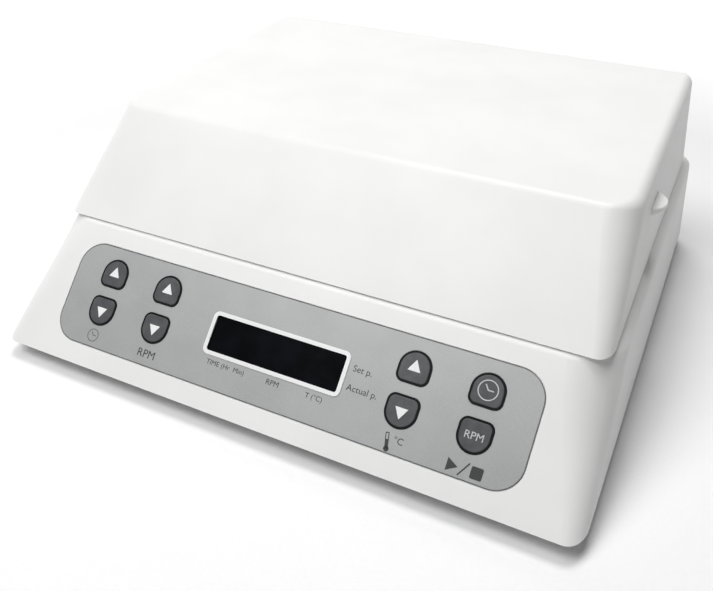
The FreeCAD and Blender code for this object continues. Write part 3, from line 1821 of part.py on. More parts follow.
def build():
    parts = {
        "base_shell": base_shell(),
        "hinge_pins": hinge_pins(),
        "lid_shell": lid_shell(),
        "lid_liner": lid_liner(),
        "lid_heater_mat": lid_heater_mat(),
        "lid_heater_plate": lid_heater_plate(),
        "lid_screws": lid_screws(),
        "chamber_tray": chamber_tray(),
        "lid_seal": lid_seal(),
        "panel_overlay": panel_overlay(),
        "display_frame": display_frame(),
        "display_window": display_window(),
        "display_module": display_module(),
        "control_board": control_board(),
        "board_screws": board_screws(),
        "key_switches": key_switches(),
        "bottom_plate": bottom_plate(),
        "bottom_screws": bottom_screws(),
        "rubber_feet": rubber_feet(),
        "foot_screws": foot_screws(),
        "drive_deck": drive_deck(),
        "bearing_housing": bearing_housing(),
        "shaft_bearings": shaft_bearings(),
        "motor_stator": motor_stator(),
        "motor_rotor": motor_rotor(),
        "eccentric_shaft": eccentric_shaft(),
        "counterweight": counterweight(),
        "idler_bushes": idler_bushes(),
        "platform": platform(),
        "plate_stops": plate_stops(),
        "nest_mats": nest_mats(),
        "platform_bearing": platform_bearing(),
        "platform_bushes": platform_bushes(),
        "platform_heaters": platform_heaters(),
        "clamp_left": clamp_bar(-1),
        "clamp_right": clamp_bar(1),
        "clamp_screws": clamp_screws(),
        "rear_panel": rear_panel(),
        "rear_screws": rear_screws(),
        "power_inlet": power_inlet(),
        "fuse_holder": fuse_holder(),
        "fuse_cap": fuse_cap(),
        "rocker_housing": rocker_housing(),
        "power_rocker": power_rocker(),
        "supply_board": supply_board(),
        "temperature_probe": temperature_probe(),
    }
    for name, x, up, turn in keys:
        parts[name] = keycap(x, up, turn)
    for name, sx, sy in idlers:
        parts[name] = idler_crank(sx, sy)
    return parts


os.makedirs("parts", exist_ok=True)
for part_name, part_shape in build().items():
    part_shape.exportStep(os.path.join("parts", part_name + ".step"))
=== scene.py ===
"""Looks of an incubating microplate shaker: finishes, printed marks, lights and camera."""

import json
import math

import bpy
from mathutils import Matrix, Vector


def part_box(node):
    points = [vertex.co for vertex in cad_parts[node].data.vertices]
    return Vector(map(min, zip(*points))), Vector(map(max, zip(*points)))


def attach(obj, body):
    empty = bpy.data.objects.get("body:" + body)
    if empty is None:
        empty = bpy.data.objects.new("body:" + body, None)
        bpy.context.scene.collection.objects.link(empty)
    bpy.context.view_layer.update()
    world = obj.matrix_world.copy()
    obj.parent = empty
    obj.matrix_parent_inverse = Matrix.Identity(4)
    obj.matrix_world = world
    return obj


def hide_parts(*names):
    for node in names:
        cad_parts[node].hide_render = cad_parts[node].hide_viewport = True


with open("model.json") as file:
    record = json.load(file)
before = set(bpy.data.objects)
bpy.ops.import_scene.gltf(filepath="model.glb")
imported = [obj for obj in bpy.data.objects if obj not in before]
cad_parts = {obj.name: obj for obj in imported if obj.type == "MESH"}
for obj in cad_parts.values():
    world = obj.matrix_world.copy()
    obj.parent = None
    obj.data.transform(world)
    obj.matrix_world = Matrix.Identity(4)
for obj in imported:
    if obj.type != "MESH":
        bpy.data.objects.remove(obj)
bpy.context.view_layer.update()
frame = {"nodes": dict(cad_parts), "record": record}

MM = 0.001

# The sloped front, on which the key panel lies
SLOPE = math.radians(45.5)
front_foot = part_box("base_shell")[0]

# Camera, as the photograph was taken
CAMERA_PLACE = (139.81 * MM, -320.17 * MM, 230.91 * MM)
CAMERA_TURN = (math.radians(55.849), math.radians(-0.558), math.radians(26.235))
CAMERA_LENS = 39.477

# Soft boxes, in metres and watts: name, place, side and power; and where they look
LAMPS = [
    ("lamp_top", (-0.15, 0.33, 1.5), 0.6, 11.3),
    ("lamp_left", (-0.46, -0.59, 1.35), 0.8, 13),
]
LAMP_TARGET = (0, 0, 0.05)

# Floor: its side, how much it glows to the camera near the object and far away, and
# the two distances between which the glow rises, in metres
FLOOR_SIDE = 14
FLOOR_GLOW = (0.06, 0.95)
FLOOR_GLOW_REACH = (0.32, 1.0)

# Light of the room: what it gives to surfaces, and what the camera sees
ROOM_LIGHT = 0.05
ROOM_SEEN = 1.0

# Thickness of the panel's print and of the signs on keys and rocker, in millimetres
INK = 0.03
PLATE = 0.06

# Sizes of the signs in millimetres, and the turns of the clocks' longer hands
TRIANGLE_RADIUS = 3.1
KEY_WORD_HEIGHT = 2.9
CLOCK_KEY_RADIUS = 4.0
CLOCK_KEY_LINE = 0.42
CLOCK_KEY_HAND = math.radians(125)
CLOCK_PANEL_RADIUS = 2.9
CLOCK_PANEL_LINE = 0.32
CLOCK_PANEL_HAND = math.radians(120)

# Printed film in millimetres: how far it stays inside the panel's edge, its underside
# and its top over the slope, and the corners of the panel and of the display's border
FILM_INSET = 0.35
FILM_LOW = 0.01
FILM_TOP = 0.12
PANEL_RADIUS = 11.5
PANEL_SEGMENTS = 14
DISPLAY_RADIUS = 2.7
DISPLAY_SEGMENTS = 8

# Key tops in millimetres: outline, gap to the film, width of the black rim (partly painted
# shade of the gap round the key), body below and above the slope, height and edge of the face,
# and the shift of the upper row (True) and the lower row (False) against the CAD keys
KEY_WIDTH = 13.6
KEY_HEIGHT = 13.2
KEY_HEAD_SLACK = 0.02
KEY_HEAD_SEGMENTS = 20
KEY_FOOT_RADIUS = 3.3
KEY_FOOT_SEGMENTS = 8
KEY_HOLE_GAP = 0.12
KEY_OUTLINE = 0.85
KEY_BODY_DEPTH = 3.0
KEY_BODY_STAND = 0.32
KEY_FACE_STAND = 0.62
KEY_FACE_EDGE = 0.28
KEY_ROW_SHIFT = {True: 0.8, False: -0.35}

# Corners count as one side's when they are this near it, in millimetres
SAME_SIDE = 0.01

# The rocker's outer facets face the rear at least this much
FACES_REAR = 0.8


def linear(hex_colour):
    """Linear RGBA of an sRGB hex colour."""
    channels = [int(hex_colour[i:i + 2], 16) / 255 for i in (1, 3, 5)]
    light = [c / 12.92 if c <= 0.04045 else ((c + 0.055) / 1.055) ** 2.4 for c in channels]
    return light + [1.0]


def add(tree, kind, values=(), links=(), **fields):
    """Adds a shader node, sets its fields and sockets, and links its inputs."""
    node = tree.nodes.new(kind)
    for name, value in fields.items():
        setattr(node, name, value)
    for socket, value in dict(values).items():
        node.inputs[socket].default_value = value
    for socket, source in dict(links).items():
        tree.links.new(source, node.inputs[socket])
    return node


def new_finish(name, **values):
    """Material with a Principled shader; values are its sockets, spaces as underscores."""
    material = bpy.data.materials.new(name)
    material.use_nodes = True
    tree = material.node_tree
    tree.nodes.clear()
    shader = add(tree, "ShaderNodeBsdfPrincipled")
    for socket, value in values.items():
        shader.inputs[socket.replace("_", " ")].default_value = value
    add(tree, "ShaderNodeOutputMaterial", links={"Surface": shader.outputs[0]})
    place = add(tree, "ShaderNodeTexCoord").outputs["Object"]
    return material, tree, shader, place


def grain(tree, place, size_mm, detail=2.0, stretch=(1, 1, 1)):
    """Noise whose blotches are about size_mm across, longer where stretch is below 1."""
    turned = add(tree, "ShaderNodeMapping", {"Scale": stretch}, {"Vector": place})
    values = {"Scale": 1 / (size_mm * MM), "Detail": detail, "Roughness": 0.55}
    return add(tree, "ShaderNodeTexNoise", values, {"Vector": turned.outputs[0]}).outputs["Fac"]


def spread(tree, source, low, high, start=0.3, end=0.7):
    """Maps a noise onto the range from low to high."""
    values = {"From Min": start, "From Max": end, "To Min": low, "To Max": high}
    return add(tree, "ShaderNodeMapRange", values, {"Value": source}).outputs[0]


def tint(tree, source, dark, light, start=0.35, end=0.65):
    """Colour ramp between two hex colours."""
    ramp = add(tree, "ShaderNodeValToRGB", links={"Fac": source})
    ramp.color_ramp.elements[0].position = start
    ramp.color_ramp.elements[0].color = linear(dark)
    ramp.color_ramp.elements[1].position = end
    ramp.color_ramp.elements[1].color = linear(light)
    return ramp.outputs[0]


def emboss(tree, shader, height, depth_mm, strength=0.5):
    """Bump of a height that is depth_mm deep."""
    values = {"Strength": strength, "Distance": depth_mm * MM}
    bump = add(tree, "ShaderNodeBump", values, {"Height": height})
    tree.links.new(bump.outputs[0], shader.inputs["Normal"])


def white_abs():
    """ABS moulded in a spark-eroded tool: warm white, satin, with a fine even grain and
    faint cloudiness. The grain is drawn at 0.5 mm, coarser than the real 0.15 mm."""
    material, tree, shader, place = new_finish("white_abs", IOR=1.53)
    cloud = grain(tree, place, 38)
    fine = grain(tree, place, 0.5, 3)
    tree.links.new(tint(tree, cloud, "#F1F1F0", "#F5F5F4"), shader.inputs["Base Color"])
    tree.links.new(spread(tree, fine, 0.36, 0.5), shader.inputs["Roughness"])
    emboss(tree, shader, fine, 0.035, 0.3)
    return material


def white_gloss_abs():
    """ABS from a polished tool: the display's border and the lid's liner."""
    material, tree, shader, place = new_finish("white_gloss_abs", IOR=1.53)
    cloud = grain(tree, place, 45)
    tree.links.new(tint(tree, cloud, "#F5F5F4", "#F8F8F8"), shader.inputs["Base Color"])
    tree.links.new(spread(tree, cloud, 0.27, 0.31), shader.inputs["Roughness"])
    emboss(tree, shader, grain(tree, place, 2.5), 0.003, 0.1)
    return material


def silver_film():
    """Polyester film printed with silver ink from behind: matt grey with fine flake."""
    material, tree, shader, place = new_finish("silver_film", Metallic=0.3, IOR=1.57)
    flake = grain(tree, place, 0.35, 1)
    cloud = grain(tree, place, 22)
    base = tint(tree, cloud, "#939494", "#9B9C9C")
    spark = tint(tree, flake, "#888989", "#B2B3B3", 0.3, 0.7)
    mix = add(tree, "ShaderNodeMix", {"Factor": 0.28}, data_type="RGBA")
    tree.links.new(base, mix.inputs["A"])
    tree.links.new(spark, mix.inputs["B"])
    tree.links.new(mix.outputs["Result"], shader.inputs["Base Color"])
    tree.links.new(spread(tree, flake, 0.4, 0.54), shader.inputs["Roughness"])
    emboss(tree, shader, flake, 0.02, 0.25)
    return material


def key_abs():
    """Key faces of slate grey ABS with a satin tool finish, a little lighter where touched."""
    material, tree, shader, place = new_finish("key_abs", IOR=1.53, Specular_IOR_Level=0.3)
    wear = grain(tree, place, 5)
    fine = grain(tree, place, 0.3, 2)
    tree.links.new(tint(tree, wear, "#424346", "#505154"), shader.inputs["Base Color"])
    tree.links.new(spread(tree, fine, 0.28, 0.4), shader.inputs["Roughness"])
    emboss(tree, shader, fine, 0.02, 0.25)
    return material


def key_rim_black_and_shade():
    """Black on the keys' bodies, which draws their outline: partly a black rim, partly painted
    shade of the gap and sides round each key.
    """
    material, tree, shader, place = new_finish("key_rim_black_and_shade", IOR=1.5, Specular_IOR_Level=0.1)
    smear = grain(tree, place, 4)
    tree.links.new(tint(tree, smear, "#060607", "#0D0D0F"), shader.inputs["Base Color"])
    tree.links.new(spread(tree, smear, 0.34, 0.46), shader.inputs["Roughness"])
    emboss(tree, shader, grain(tree, place, 1.2), 0.01, 0.15)
    return material


def panel_backing():
    """Dark grey plate behind the printed film; its edge frames the film."""
    material, tree, shader, place = new_finish("panel_backing", IOR=1.53)
    cloud = grain(tree, place, 3)
    tree.links.new(tint(tree, cloud, "#5E5F60", "#68696A"), shader.inputs["Base Color"])
    tree.links.new(spread(tree, cloud, 0.45, 0.58), shader.inputs["Roughness"])
    emboss(tree, shader, cloud, 0.01, 0.2)
    return material


def black_gloss_abs():
    """Black ABS from a polished tool: the mains rocker."""
    material, tree, shader, place = new_finish("black_gloss_abs", IOR=1.53)
    smear = grain(tree, place, 4)
    tree.links.new(tint(tree, smear, "#08080A", "#101012"), shader.inputs["Base Color"])
    tree.links.new(spread(tree, smear, 0.2, 0.34), shader.inputs["Roughness"])
    emboss(tree, shader, grain(tree, place, 1.2), 0.01, 0.15)
    return material


def black_nylon():
    """Glass-filled nylon: matt black with a pale fibre mottle."""
    material, tree, shader, place = new_finish("black_nylon", IOR=1.54)
    fibre = grain(tree, place, 0.8, 4)
    tree.links.new(tint(tree, fibre, "#17171A", "#232326"), shader.inputs["Base Color"])
    tree.links.new(spread(tree, fibre, 0.45, 0.62), shader.inputs["Roughness"])
    emboss(tree, shader, fibre, 0.03, 0.35)
    return material


def smoked_acrylic():
    """Acrylic over a display that is switched off: near black, coated against glare."""
    material, tree, shader, place = new_finish(
        "smoked_acrylic", IOR=1.49, Specular_IOR_Level=0.03
    )
    haze = grain(tree, place, 9, 3)
    tree.links.new(tint(tree, haze, "#07080B", "#0D0E13"), shader.inputs["Base Color"])
    tree.links.new(spread(tree, haze, 0.14, 0.24), shader.inputs["Roughness"])
    emboss(tree, shader, grain(tree, place, 6), 0.01, 0.1)
    return material


def moulded_rubber():
    """Black rubber feet: dull, with grey bloom and a coarse tool grain."""
    material, tree, shader, place = new_finish("moulded_rubber", IOR=1.52)
    bloom = grain(tree, place, 3, 4)
    tree.links.new(tint(tree, bloom, "#161617", "#262627"), shader.inputs["Base Color"])
    tree.links.new(spread(tree, bloom, 0.7, 0.88), shader.inputs["Roughness"])
    emboss(tree, shader, grain(tree, place, 0.5), 0.06, 0.5)
    return material


def grey_silicone():
    """Extruded silicone: soft grey with a faint waxy sheen."""
    material, tree, shader, place = new_finish("grey_silicone", IOR=1.41, Sheen_Weight=0.15)
    dust = grain(tree, place, 2, 4)
    tree.links.new(tint(tree, dust, "#85878A", "#93959A"), shader.inputs["Base Color"])
    tree.links.new(spread(tree, dust, 0.5, 0.66), shader.inputs["Roughness"])
    emboss(tree, shader, dust, 0.03, 0.3)
    return material


def heater_mat():
    """Red silicone heating mat: glass cloth shows through as a fine square weave."""
    material, tree, shader, place = new_finish("heater_mat", IOR=1.41)
    weave = [
        add(
            tree,
            "ShaderNodeTexWave",
            {"Scale": 1 / (1.2 * MM) / math.tau * 0.5, "Distortion": 0.4},
            {"Vector": place},
            bands_direction=direction,
        ).outputs["Fac"]
        for direction in ("X", "Y")
    ]
    links = {0: weave[0], 1: weave[1]}
    cloth = add(tree, "ShaderNodeMath", links=links, operation="MULTIPLY").outputs[0]
    tree.links.new(tint(tree, cloth, "#8C2F1C", "#A8452C", 0, 1), shader.inputs["Base Color"])
    tree.links.new(spread(tree, cloth, 0.5, 0.65, 0, 1), shader.inputs["Roughness"])
    emboss(tree, shader, cloth, 0.08, 0.5)
    return material


def brushed_stainless():
    """Stainless sheet brushed along X: long fine scratches that spread the highlights."""
    material, tree, shader, place = new_finish("brushed_stainless", Metallic=1.0)
    lines = grain(tree, place, 0.6, 3, (0.02, 1, 1))
    tree.links.new(tint(tree, lines, "#A9ABAD", "#C6C8CA"), shader.inputs["Base Color"])
    tree.links.new(spread(tree, lines, 0.24, 0.42), shader.inputs["Roughness"])
    emboss(tree, shader, lines, 0.02, 0.3)
    return material


def blasted_anodised():
    """Aluminium, bead-blasted and clear anodised: pale silver with a soft even grain."""
    material, tree, shader, place = new_finish("blasted_anodised", Metallic=1.0)
    beads = grain(tree, place, 0.35, 2)
    cloud = grain(tree, place, 30)
    tree.links.new(tint(tree, cloud, "#B4B6B8", "#C2C4C6"), shader.inputs["Base Color"])
    tree.links.new(spread(tree, beads, 0.38, 0.52), shader.inputs["Roughness"])
    emboss(tree, shader, beads, 0.03, 0.35)
    return material


def brushed_aluminium():
    """Aluminium heater plate, brushed front to back."""
    material, tree, shader, place = new_finish("brushed_aluminium", Metallic=1.0)
    lines = grain(tree, place, 0.5, 3, (1, 0.02, 1))
    tree.links.new(tint(tree, lines, "#B2B3B5", "#D0D1D3"), shader.inputs["Base Color"])
    tree.links.new(spread(tree, lines, 0.26, 0.44), shader.inputs["Roughness"])
    emboss(tree, shader, lines, 0.02, 0.3)
    return material


def machined_aluminium():
    """Aluminium as it leaves the mill: cutter marks in slow curved bands."""
    material, tree, shader, place = new_finish("machined_aluminium", Metallic=1.0)
    values = {"Scale": 55.0, "Distortion": 1.2, "Detail": 2.0, "Detail Scale": 6.0}
    arcs = add(
        tree, "ShaderNodeTexWave", values, {"Vector": place}, wave_type="RINGS", rings_direction="Z"
    ).outputs["Fac"]
    tree.links.new(tint(tree, arcs, "#9FA1A3", "#B7B9BB", 0, 1), shader.inputs["Base Color"])
    tree.links.new(spread(tree, arcs, 0.28, 0.4, 0, 1), shader.inputs["Roughness"])
    emboss(tree, shader, arcs, 0.02, 0.3)
    return material


def zinc_plate():
    """Bright zinc on steel sheet: cool grey with cloudy passivation."""
    material, tree, shader, place = new_finish("zinc_plate", Metallic=1.0)
    cloud = grain(tree, place, 7, 4)
    tree.links.new(tint(tree, cloud, "#9A9DA1", "#B9BCBE"), shader.inputs["Base Color"])
    tree.links.new(spread(tree, cloud, 0.26, 0.44), shader.inputs["Roughness"])
    emboss(tree, shader, grain(tree, place, 0.8, 3), 0.02, 0.3)
    return material


def ground_steel():
    """Ground bearing steel: bright, with fine turning lines."""
    material, tree, shader, place = new_finish("ground_steel", Metallic=1.0)
    lines = grain(tree, place, 0.25, 2, (0.2, 0.2, 1))
    tree.links.new(tint(tree, lines, "#A0A2A5", "#C4C6C9"), shader.inputs["Base Color"])
    tree.links.new(spread(tree, lines, 0.16, 0.3), shader.inputs["Roughness"])
    emboss(tree, shader, lines, 0.01, 0.25)
    return material


def powder_coat():
    """Polyester powder coat in mid grey: even orange peel, about 0.8 mm across."""
    material, tree, shader, place = new_finish("powder_coat", IOR=1.5)
    peel = grain(tree, place, 0.8, 2)
    tree.links.new(tint(tree, peel, "#868889", "#8F9192"), shader.inputs["Base Color"])
    tree.links.new(spread(tree, peel, 0.4, 0.52), shader.inputs["Roughness"])
    emboss(tree, shader, peel, 0.06, 0.5)
    return material


def solder_mask():
    """Green solder mask over copper tracks, which show as lighter lines."""
    material, tree, shader, place = new_finish("solder_mask", IOR=1.52)
    values = {"Scale": 1 / (2.5 * MM), "Randomness": 0.35}
    track = add(
        tree, "ShaderNodeTexVoronoi", values, {"Vector": place}, feature="DISTANCE_TO_EDGE"
    ).outputs["Distance"]
    tree.links.new(tint(tree, track, "#2F8055", "#15502F", 0.02, 0.12), shader.inputs["Base Color"])
    tree.links.new(spread(tree, track, 0.25, 0.4, 0, 0.3), shader.inputs["Roughness"])
    emboss(tree, shader, track, 0.03, 0.3)
    return material


def enamelled_copper():
    """Copper winding wire under clear enamel, in turns about 0.7 mm thick."""
    material, tree, shader, place = new_finish("enamelled_copper", Metallic=1.0, Coat_Weight=0.4)
    values = {"Scale": 1 / (0.7 * MM) / math.tau, "Distortion": 0.3}
    turns = add(
        tree, "ShaderNodeTexWave", values, {"Vector": place}, bands_direction="Z"
    ).outputs["Fac"]
    tree.links.new(tint(tree, turns, "#7A3B1C", "#C77845", 0, 1), shader.inputs["Base Color"])
    tree.links.new(spread(tree, turns, 0.25, 0.4, 0, 1), shader.inputs["Roughness"])
    emboss(tree, shader, turns, 0.2, 0.6)
    return material


def sintered_bronze():
    """Oil-filled sintered bronze: brown and slightly porous."""
    material, tree, shader, place = new_finish("sintered_bronze", Metallic=1.0)
    pores = grain(tree, place, 0.4, 4)
    tree.links.new(tint(tree, pores, "#6E5230", "#A9834F"), shader.inputs["Base Color"])
    tree.links.new(spread(tree, pores, 0.3, 0.5), shader.inputs["Roughness"])
    emboss(tree, shader, pores, 0.04, 0.4)
    return material


def panel_ink(name, dark, light):
    """Screen-printed ink: an even matt film with slightly uneven cover."""
    material, tree, shader, place = new_finish(name, IOR=1.5)
    cover = grain(tree, place, 0.6, 3)
    tree.links.new(tint(tree, cover, dark, light), shader.inputs["Base Color"])
    tree.links.new(spread(tree, cover, 0.42, 0.58), shader.inputs["Roughness"])
    emboss(tree, shader, cover, 0.01, 0.2)
    return material


FINISHES = {
    "white_housing": white_abs(),
    "white_trim": white_gloss_abs(),
    "grey_fascia": panel_backing(),
    "grey_panel": powder_coat(),
    "key_grey": key_abs(),
    "display_glass": smoked_acrylic(),
    "black_plastic": black_nylon(),
    "rocker_black": black_gloss_abs(),
    "foot_rubber": moulded_rubber(),
    "seal_silicone": grey_silicone(),
    "zinc_steel": zinc_plate(),
    "bearing_steel": ground_steel(),
    "chamber_steel": brushed_stainless(),
    "platform_aluminium": blasted_anodised(),
    "heater_plate": brushed_aluminium(),
    "cast_aluminium": machined_aluminium(),
    "heater_foil": heater_mat(),
    "board_green": solder_mask(),
    "winding_copper": enamelled_copper(),
    "bronze": sintered_bronze(),
}
printed_film = silver_film()
# Black of the keys' outline: partly their black rim, partly painted shade of the gap round each key
painted_key_outline = key_rim_black_and_shade()
white_ink = panel_ink("white_ink", "#F2F2F2", "#FBFBFB")
black_ink = panel_ink("black_ink", "#141415", "#1E1E20")
grey_ink = panel_ink("grey_ink", "#4A4A4C", "#58585A")
pale_ink = panel_ink("pale_ink", "#C4C5C6", "#D2D3D4")


def dress_frame():
    """Gives every CAD node the finish of its slot."""
    slot_of = {part["node"]: part["material_slot"] for part in frame["record"]["subparts"]}
    for node, piece in frame["nodes"].items():
        for holder in piece.material_slots:
            holder.material = FINISHES[slot_of[node]]


def deselect():
    """Clears the selection."""
    bpy.ops.object.select_all(action="DESELECT")


def only(piece):
    """Makes a piece the one selected and active object."""
    deselect()
    piece.select_set(True)
    bpy.context.view_layer.objects.active = piece


def bake_place(piece):
    """Moves a piece's place and turn into its mesh."""
    only(piece)
    bpy.ops.object.transform_apply(location=True, rotation=True, scale=True)


def on_slope(piece, x, up, out):
    """Lays a piece that was modelled flat at the origin on the sloped front."""
    piece.rotation_euler = (SLOPE, 0, 0)
    piece.location = (
        x,
        front_foot.y + up * math.cos(SLOPE) - out * math.sin(SLOPE),
        front_foot.z + up * math.sin(SLOPE) + out * math.cos(SLOPE),
    )
    bake_place(piece)


def slope_span(node):
    """Lowest and highest (x, up, out) of a CAD node, measured on the slope."""
    points = []
    for vertex in frame["nodes"][node].data.vertices:
        place = vertex.co - front_foot
        up = place.y * math.cos(SLOPE) + place.z * math.sin(SLOPE)
        out = place.z * math.cos(SLOPE) - place.y * math.sin(SLOPE)
        points.append((vertex.co.x, up, out))
    return Vector(map(min, zip(*points))), Vector(map(max, zip(*points)))


def finish_piece(piece, name, material, body):
    """Names a new piece, gives it its finish and ties it to its body."""
    piece.name = name
    piece.data.name = name
    piece.data.materials.clear()
    piece.data.materials.append(material)
    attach(piece, body)


def thicken(piece, depth):
    """Turns flat faces that look up into a plate of the given thickness."""
    only(piece)
    bpy.ops.object.mode_set(mode="EDIT")
    bpy.ops.mesh.select_all(action="SELECT")
    bpy.ops.mesh.extrude_region_move(TRANSFORM_OT_translate={"value": (0, 0, depth)})
    bpy.ops.mesh.select_all(action="SELECT")
    bpy.ops.mesh.normals_make_consistent(inside=False)
    bpy.ops.object.mode_set(mode="OBJECT")


def round_corners(piece, radius, segments=4):
    """Rounds all corners of a flat face."""
    only(piece)
    bpy.ops.object.mode_set(mode="EDIT")
    bpy.ops.mesh.select_all(action="SELECT")
    bpy.ops.mesh.bevel(offset=radius, segments=segments, affect="VERTICES")
    bpy.ops.object.mode_set(mode="OBJECT")


def rectangle(width, height):
    """Flat rectangle at the origin."""
    deselect()
    bpy.ops.mesh.primitive_plane_add(size=1)
    piece = bpy.context.active_object
    piece.scale = (width, height, 1)
    bake_place(piece)
    return piece


def rounded_plate(width, height, radius, segments, depth):
    """Plate with rounded corners that stands on the origin's plane."""
    piece = rectangle(width, height)
    round_corners(piece, radius, segments)
    thicken(piece, depth)
    return piece


def triangle(radius, turn):
    """Flat triangle with softly rounded tips, pointing along its turn."""
    deselect()
    bpy.ops.mesh.primitive_circle_add(vertices=3, radius=radius, fill_type="NGON")
    piece = bpy.context.active_object
    piece.rotation_euler = (0, 0, turn)
    bake_place(piece)
    round_corners(piece, radius * 0.06, 3)
    return piece


def bar(width, height, turn=0.0, x=0.0, y=0.0):
    """Flat bar with softened corners, turned and then moved."""
    piece = rectangle(width, height)
    round_corners(piece, min(width, height) * 0.12, 2)
    piece.rotation_euler = (0, 0, turn)
    piece.location = (x, y, 0)
    bake_place(piece)
    return piece


def ring(radius, width):
    """Flat ring: a disc inset by the width, with its middle taken out."""
    deselect()
    bpy.ops.mesh.primitive_circle_add(vertices=56, radius=radius, fill_type="NGON")
    piece = bpy.context.active_object
    bpy.ops.object.mode_set(mode="EDIT")
    bpy.ops.mesh.select_all(action="SELECT")
    bpy.ops.mesh.inset(thickness=width)
    bpy.ops.mesh.delete(type="FACE")
    bpy.ops.object.mode_set(mode="OBJECT")
    return piece


def join(pieces):
    """Joins flat shapes into one piece, at the origin."""
    deselect()
    for piece in pieces:
        piece.select_set(True)
    bpy.context.view_layer.objects.active = pieces[0]
    bpy.ops.object.join()
    return bpy.context.active_object


def lettering(text, height):
    """Generic lettering as a flat mesh centred on the origin; height is a capital's."""
    deselect()
    bpy.ops.object.text_add()
    piece = bpy.context.active_object
    piece.data.body = text
    piece.data.size = height / 0.7
    piece.data.resolution_u = 4
    piece.data.align_x = "CENTER"
    piece.data.align_y = "CENTER"
    only(piece)
    bpy.ops.object.convert(target="MESH")
    piece = bpy.context.active_object
    bake_place(piece)
    return piece


def clock(radius, line, turn_of_long_hand):
    """Clock face: a ring and two hands, the shorter one at three o'clock."""
    pieces = [ring(radius, line)]
    for length, turn in ((radius * 0.55, 0.0), (radius * 0.62, turn_of_long_hand)):
        x = math.cos(turn) * length / 2
        y = math.sin(turn) * length / 2
        pieces.append(bar(length, line * 1.1, turn, x, y))
    return join(pieces)


def thermometer(length):
    """Thermometer: a bulb, a filled stem and the open end of the tube, as shares of the
    length, and slightly tilted."""
    deselect()
    bpy.ops.mesh.primitive_circle_add(vertices=28, radius=length * 0.15, fill_type="NGON")
    bulb = bpy.context.active_object
    bulb.location = (0, -length * 0.36, 0)
    bake_place(bulb)
    stem = bar(length * 0.2, length * 0.5, 0, 0, -length * 0.12)
    line = length * 0.045
    walls = [bar(line, length * 0.42, 0, side * length * 0.08, length * 0.26) for side in (-1, 1)]
    cap = bar(length * 0.2, line, 0, 0, length * 0.47)
    piece = join([bulb, stem, cap] + walls)
    piece.rotation_euler = (0, 0, math.radians(12))
    bake_place(piece)
    return piece


# Sign of each key, and whether its round head points up
KEYS = {
    "key_time_up": ("up", True),
    "key_time_down": ("down", False),
    "key_speed_up": ("up", True),
    "key_speed_down": ("down", False),
    "key_heat_up": ("up", True),
    "key_heat_down": ("down", False),
    "key_timer": ("clock", True),
    "key_run": ("RPM", False),
}


def key_place(node, upright):
    """Middle of a key on the slope."""
    low, high = slope_span(node)
    return (low.x + high.x) / 2, (low.y + high.y) / 2 + KEY_ROW_SHIFT[upright] * MM


def key_plate(grow_mm, upright, depth_mm):
    """Plate in the keys' outline, a round head over a foot with rounded corners, larger
    all round by grow_mm."""
    width = (KEY_WIDTH + 2 * grow_mm) * MM
    height = (KEY_HEIGHT + 2 * grow_mm) * MM
    piece = rectangle(width, height)
    corners = (
        (1, width / 2 - KEY_HEAD_SLACK * MM, KEY_HEAD_SEGMENTS),
        (-1, (KEY_FOOT_RADIUS + grow_mm) * MM, KEY_FOOT_SEGMENTS),
    )
    for side, radius, segments in corners:
        only(piece)
        bpy.ops.object.mode_set(mode="EDIT")
        bpy.ops.mesh.select_mode(type="VERT")
        bpy.ops.mesh.select_all(action="DESELECT")
        bpy.ops.object.mode_set(mode="OBJECT")
        for vertex in piece.data.vertices:
            vertex.select = abs(vertex.co.y - side * height / 2) < SAME_SIDE * MM
        bpy.ops.object.mode_set(mode="EDIT")
        bpy.ops.mesh.bevel(offset=radius, segments=segments, affect="VERTICES")
        bpy.ops.object.mode_set(mode="OBJECT")
    if not upright:
        piece.rotation_euler = (0, 0, math.pi)
        bake_place(piece)
    thicken(piece, depth_mm * MM)
    return piece


def soften_top(piece, radius, segments=3):
    """Rounds the edges of the one face that looks up."""
    only(piece)
    bpy.ops.object.mode_set(mode="EDIT")
    bpy.ops.mesh.select_mode(type="FACE")
    bpy.ops.mesh.select_all(action="DESELECT")
    bpy.ops.object.mode_set(mode="OBJECT")
    top = max(piece.data.polygons, key=lambda face: (round(face.normal.z, 2), face.center.z))
    top.select = True
    bpy.ops.object.mode_set(mode="EDIT")
    bpy.ops.mesh.region_to_loop()
    bpy.ops.mesh.bevel(offset=radius, segments=segments, affect="EDGES")
    bpy.ops.mesh.select_mode(type="VERT")
    bpy.ops.object.mode_set(mode="OBJECT")


def key_sign(sign):
    """Flat sign of a key and its ink."""
    if sign == "clock":
        return clock(CLOCK_KEY_RADIUS * MM, CLOCK_KEY_LINE * MM, CLOCK_KEY_HAND), pale_ink
    if sign in ("up", "down"):
        return triangle(TRIANGLE_RADIUS * MM, 0 if sign == "up" else math.pi), white_ink
    return lettering(sign, KEY_WORD_HEIGHT * MM), pale_ink


def key_cap(node, sign, upright):
    """Low key top: a black body, whose rim is partly painted shade of the gap round the key, a
    softly edged grey face on it, and its sign.
    """
    x, up = key_place(node, upright)
    body = key_plate(0, upright, KEY_BODY_DEPTH + KEY_BODY_STAND)
    on_slope(body, x, up, -KEY_BODY_DEPTH * MM)
    # The body's black rim round the grey face is partly painted shade of the gap round the key
    finish_piece(body, node + "_body", painted_key_outline, node)
    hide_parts(node)
    face = key_plate(-KEY_OUTLINE, upright, KEY_FACE_STAND - KEY_BODY_STAND)
    soften_top(face, KEY_FACE_EDGE * MM)
    on_slope(face, x, up, KEY_BODY_STAND * MM)
    finish_piece(face, node + "_face", FINISHES["key_grey"], node)
    legend, ink = key_sign(sign)
    thicken(legend, PLATE * MM)
    on_slope(legend, x, up, KEY_FACE_STAND * MM)
    finish_piece(legend, node + "_legend", ink, node)


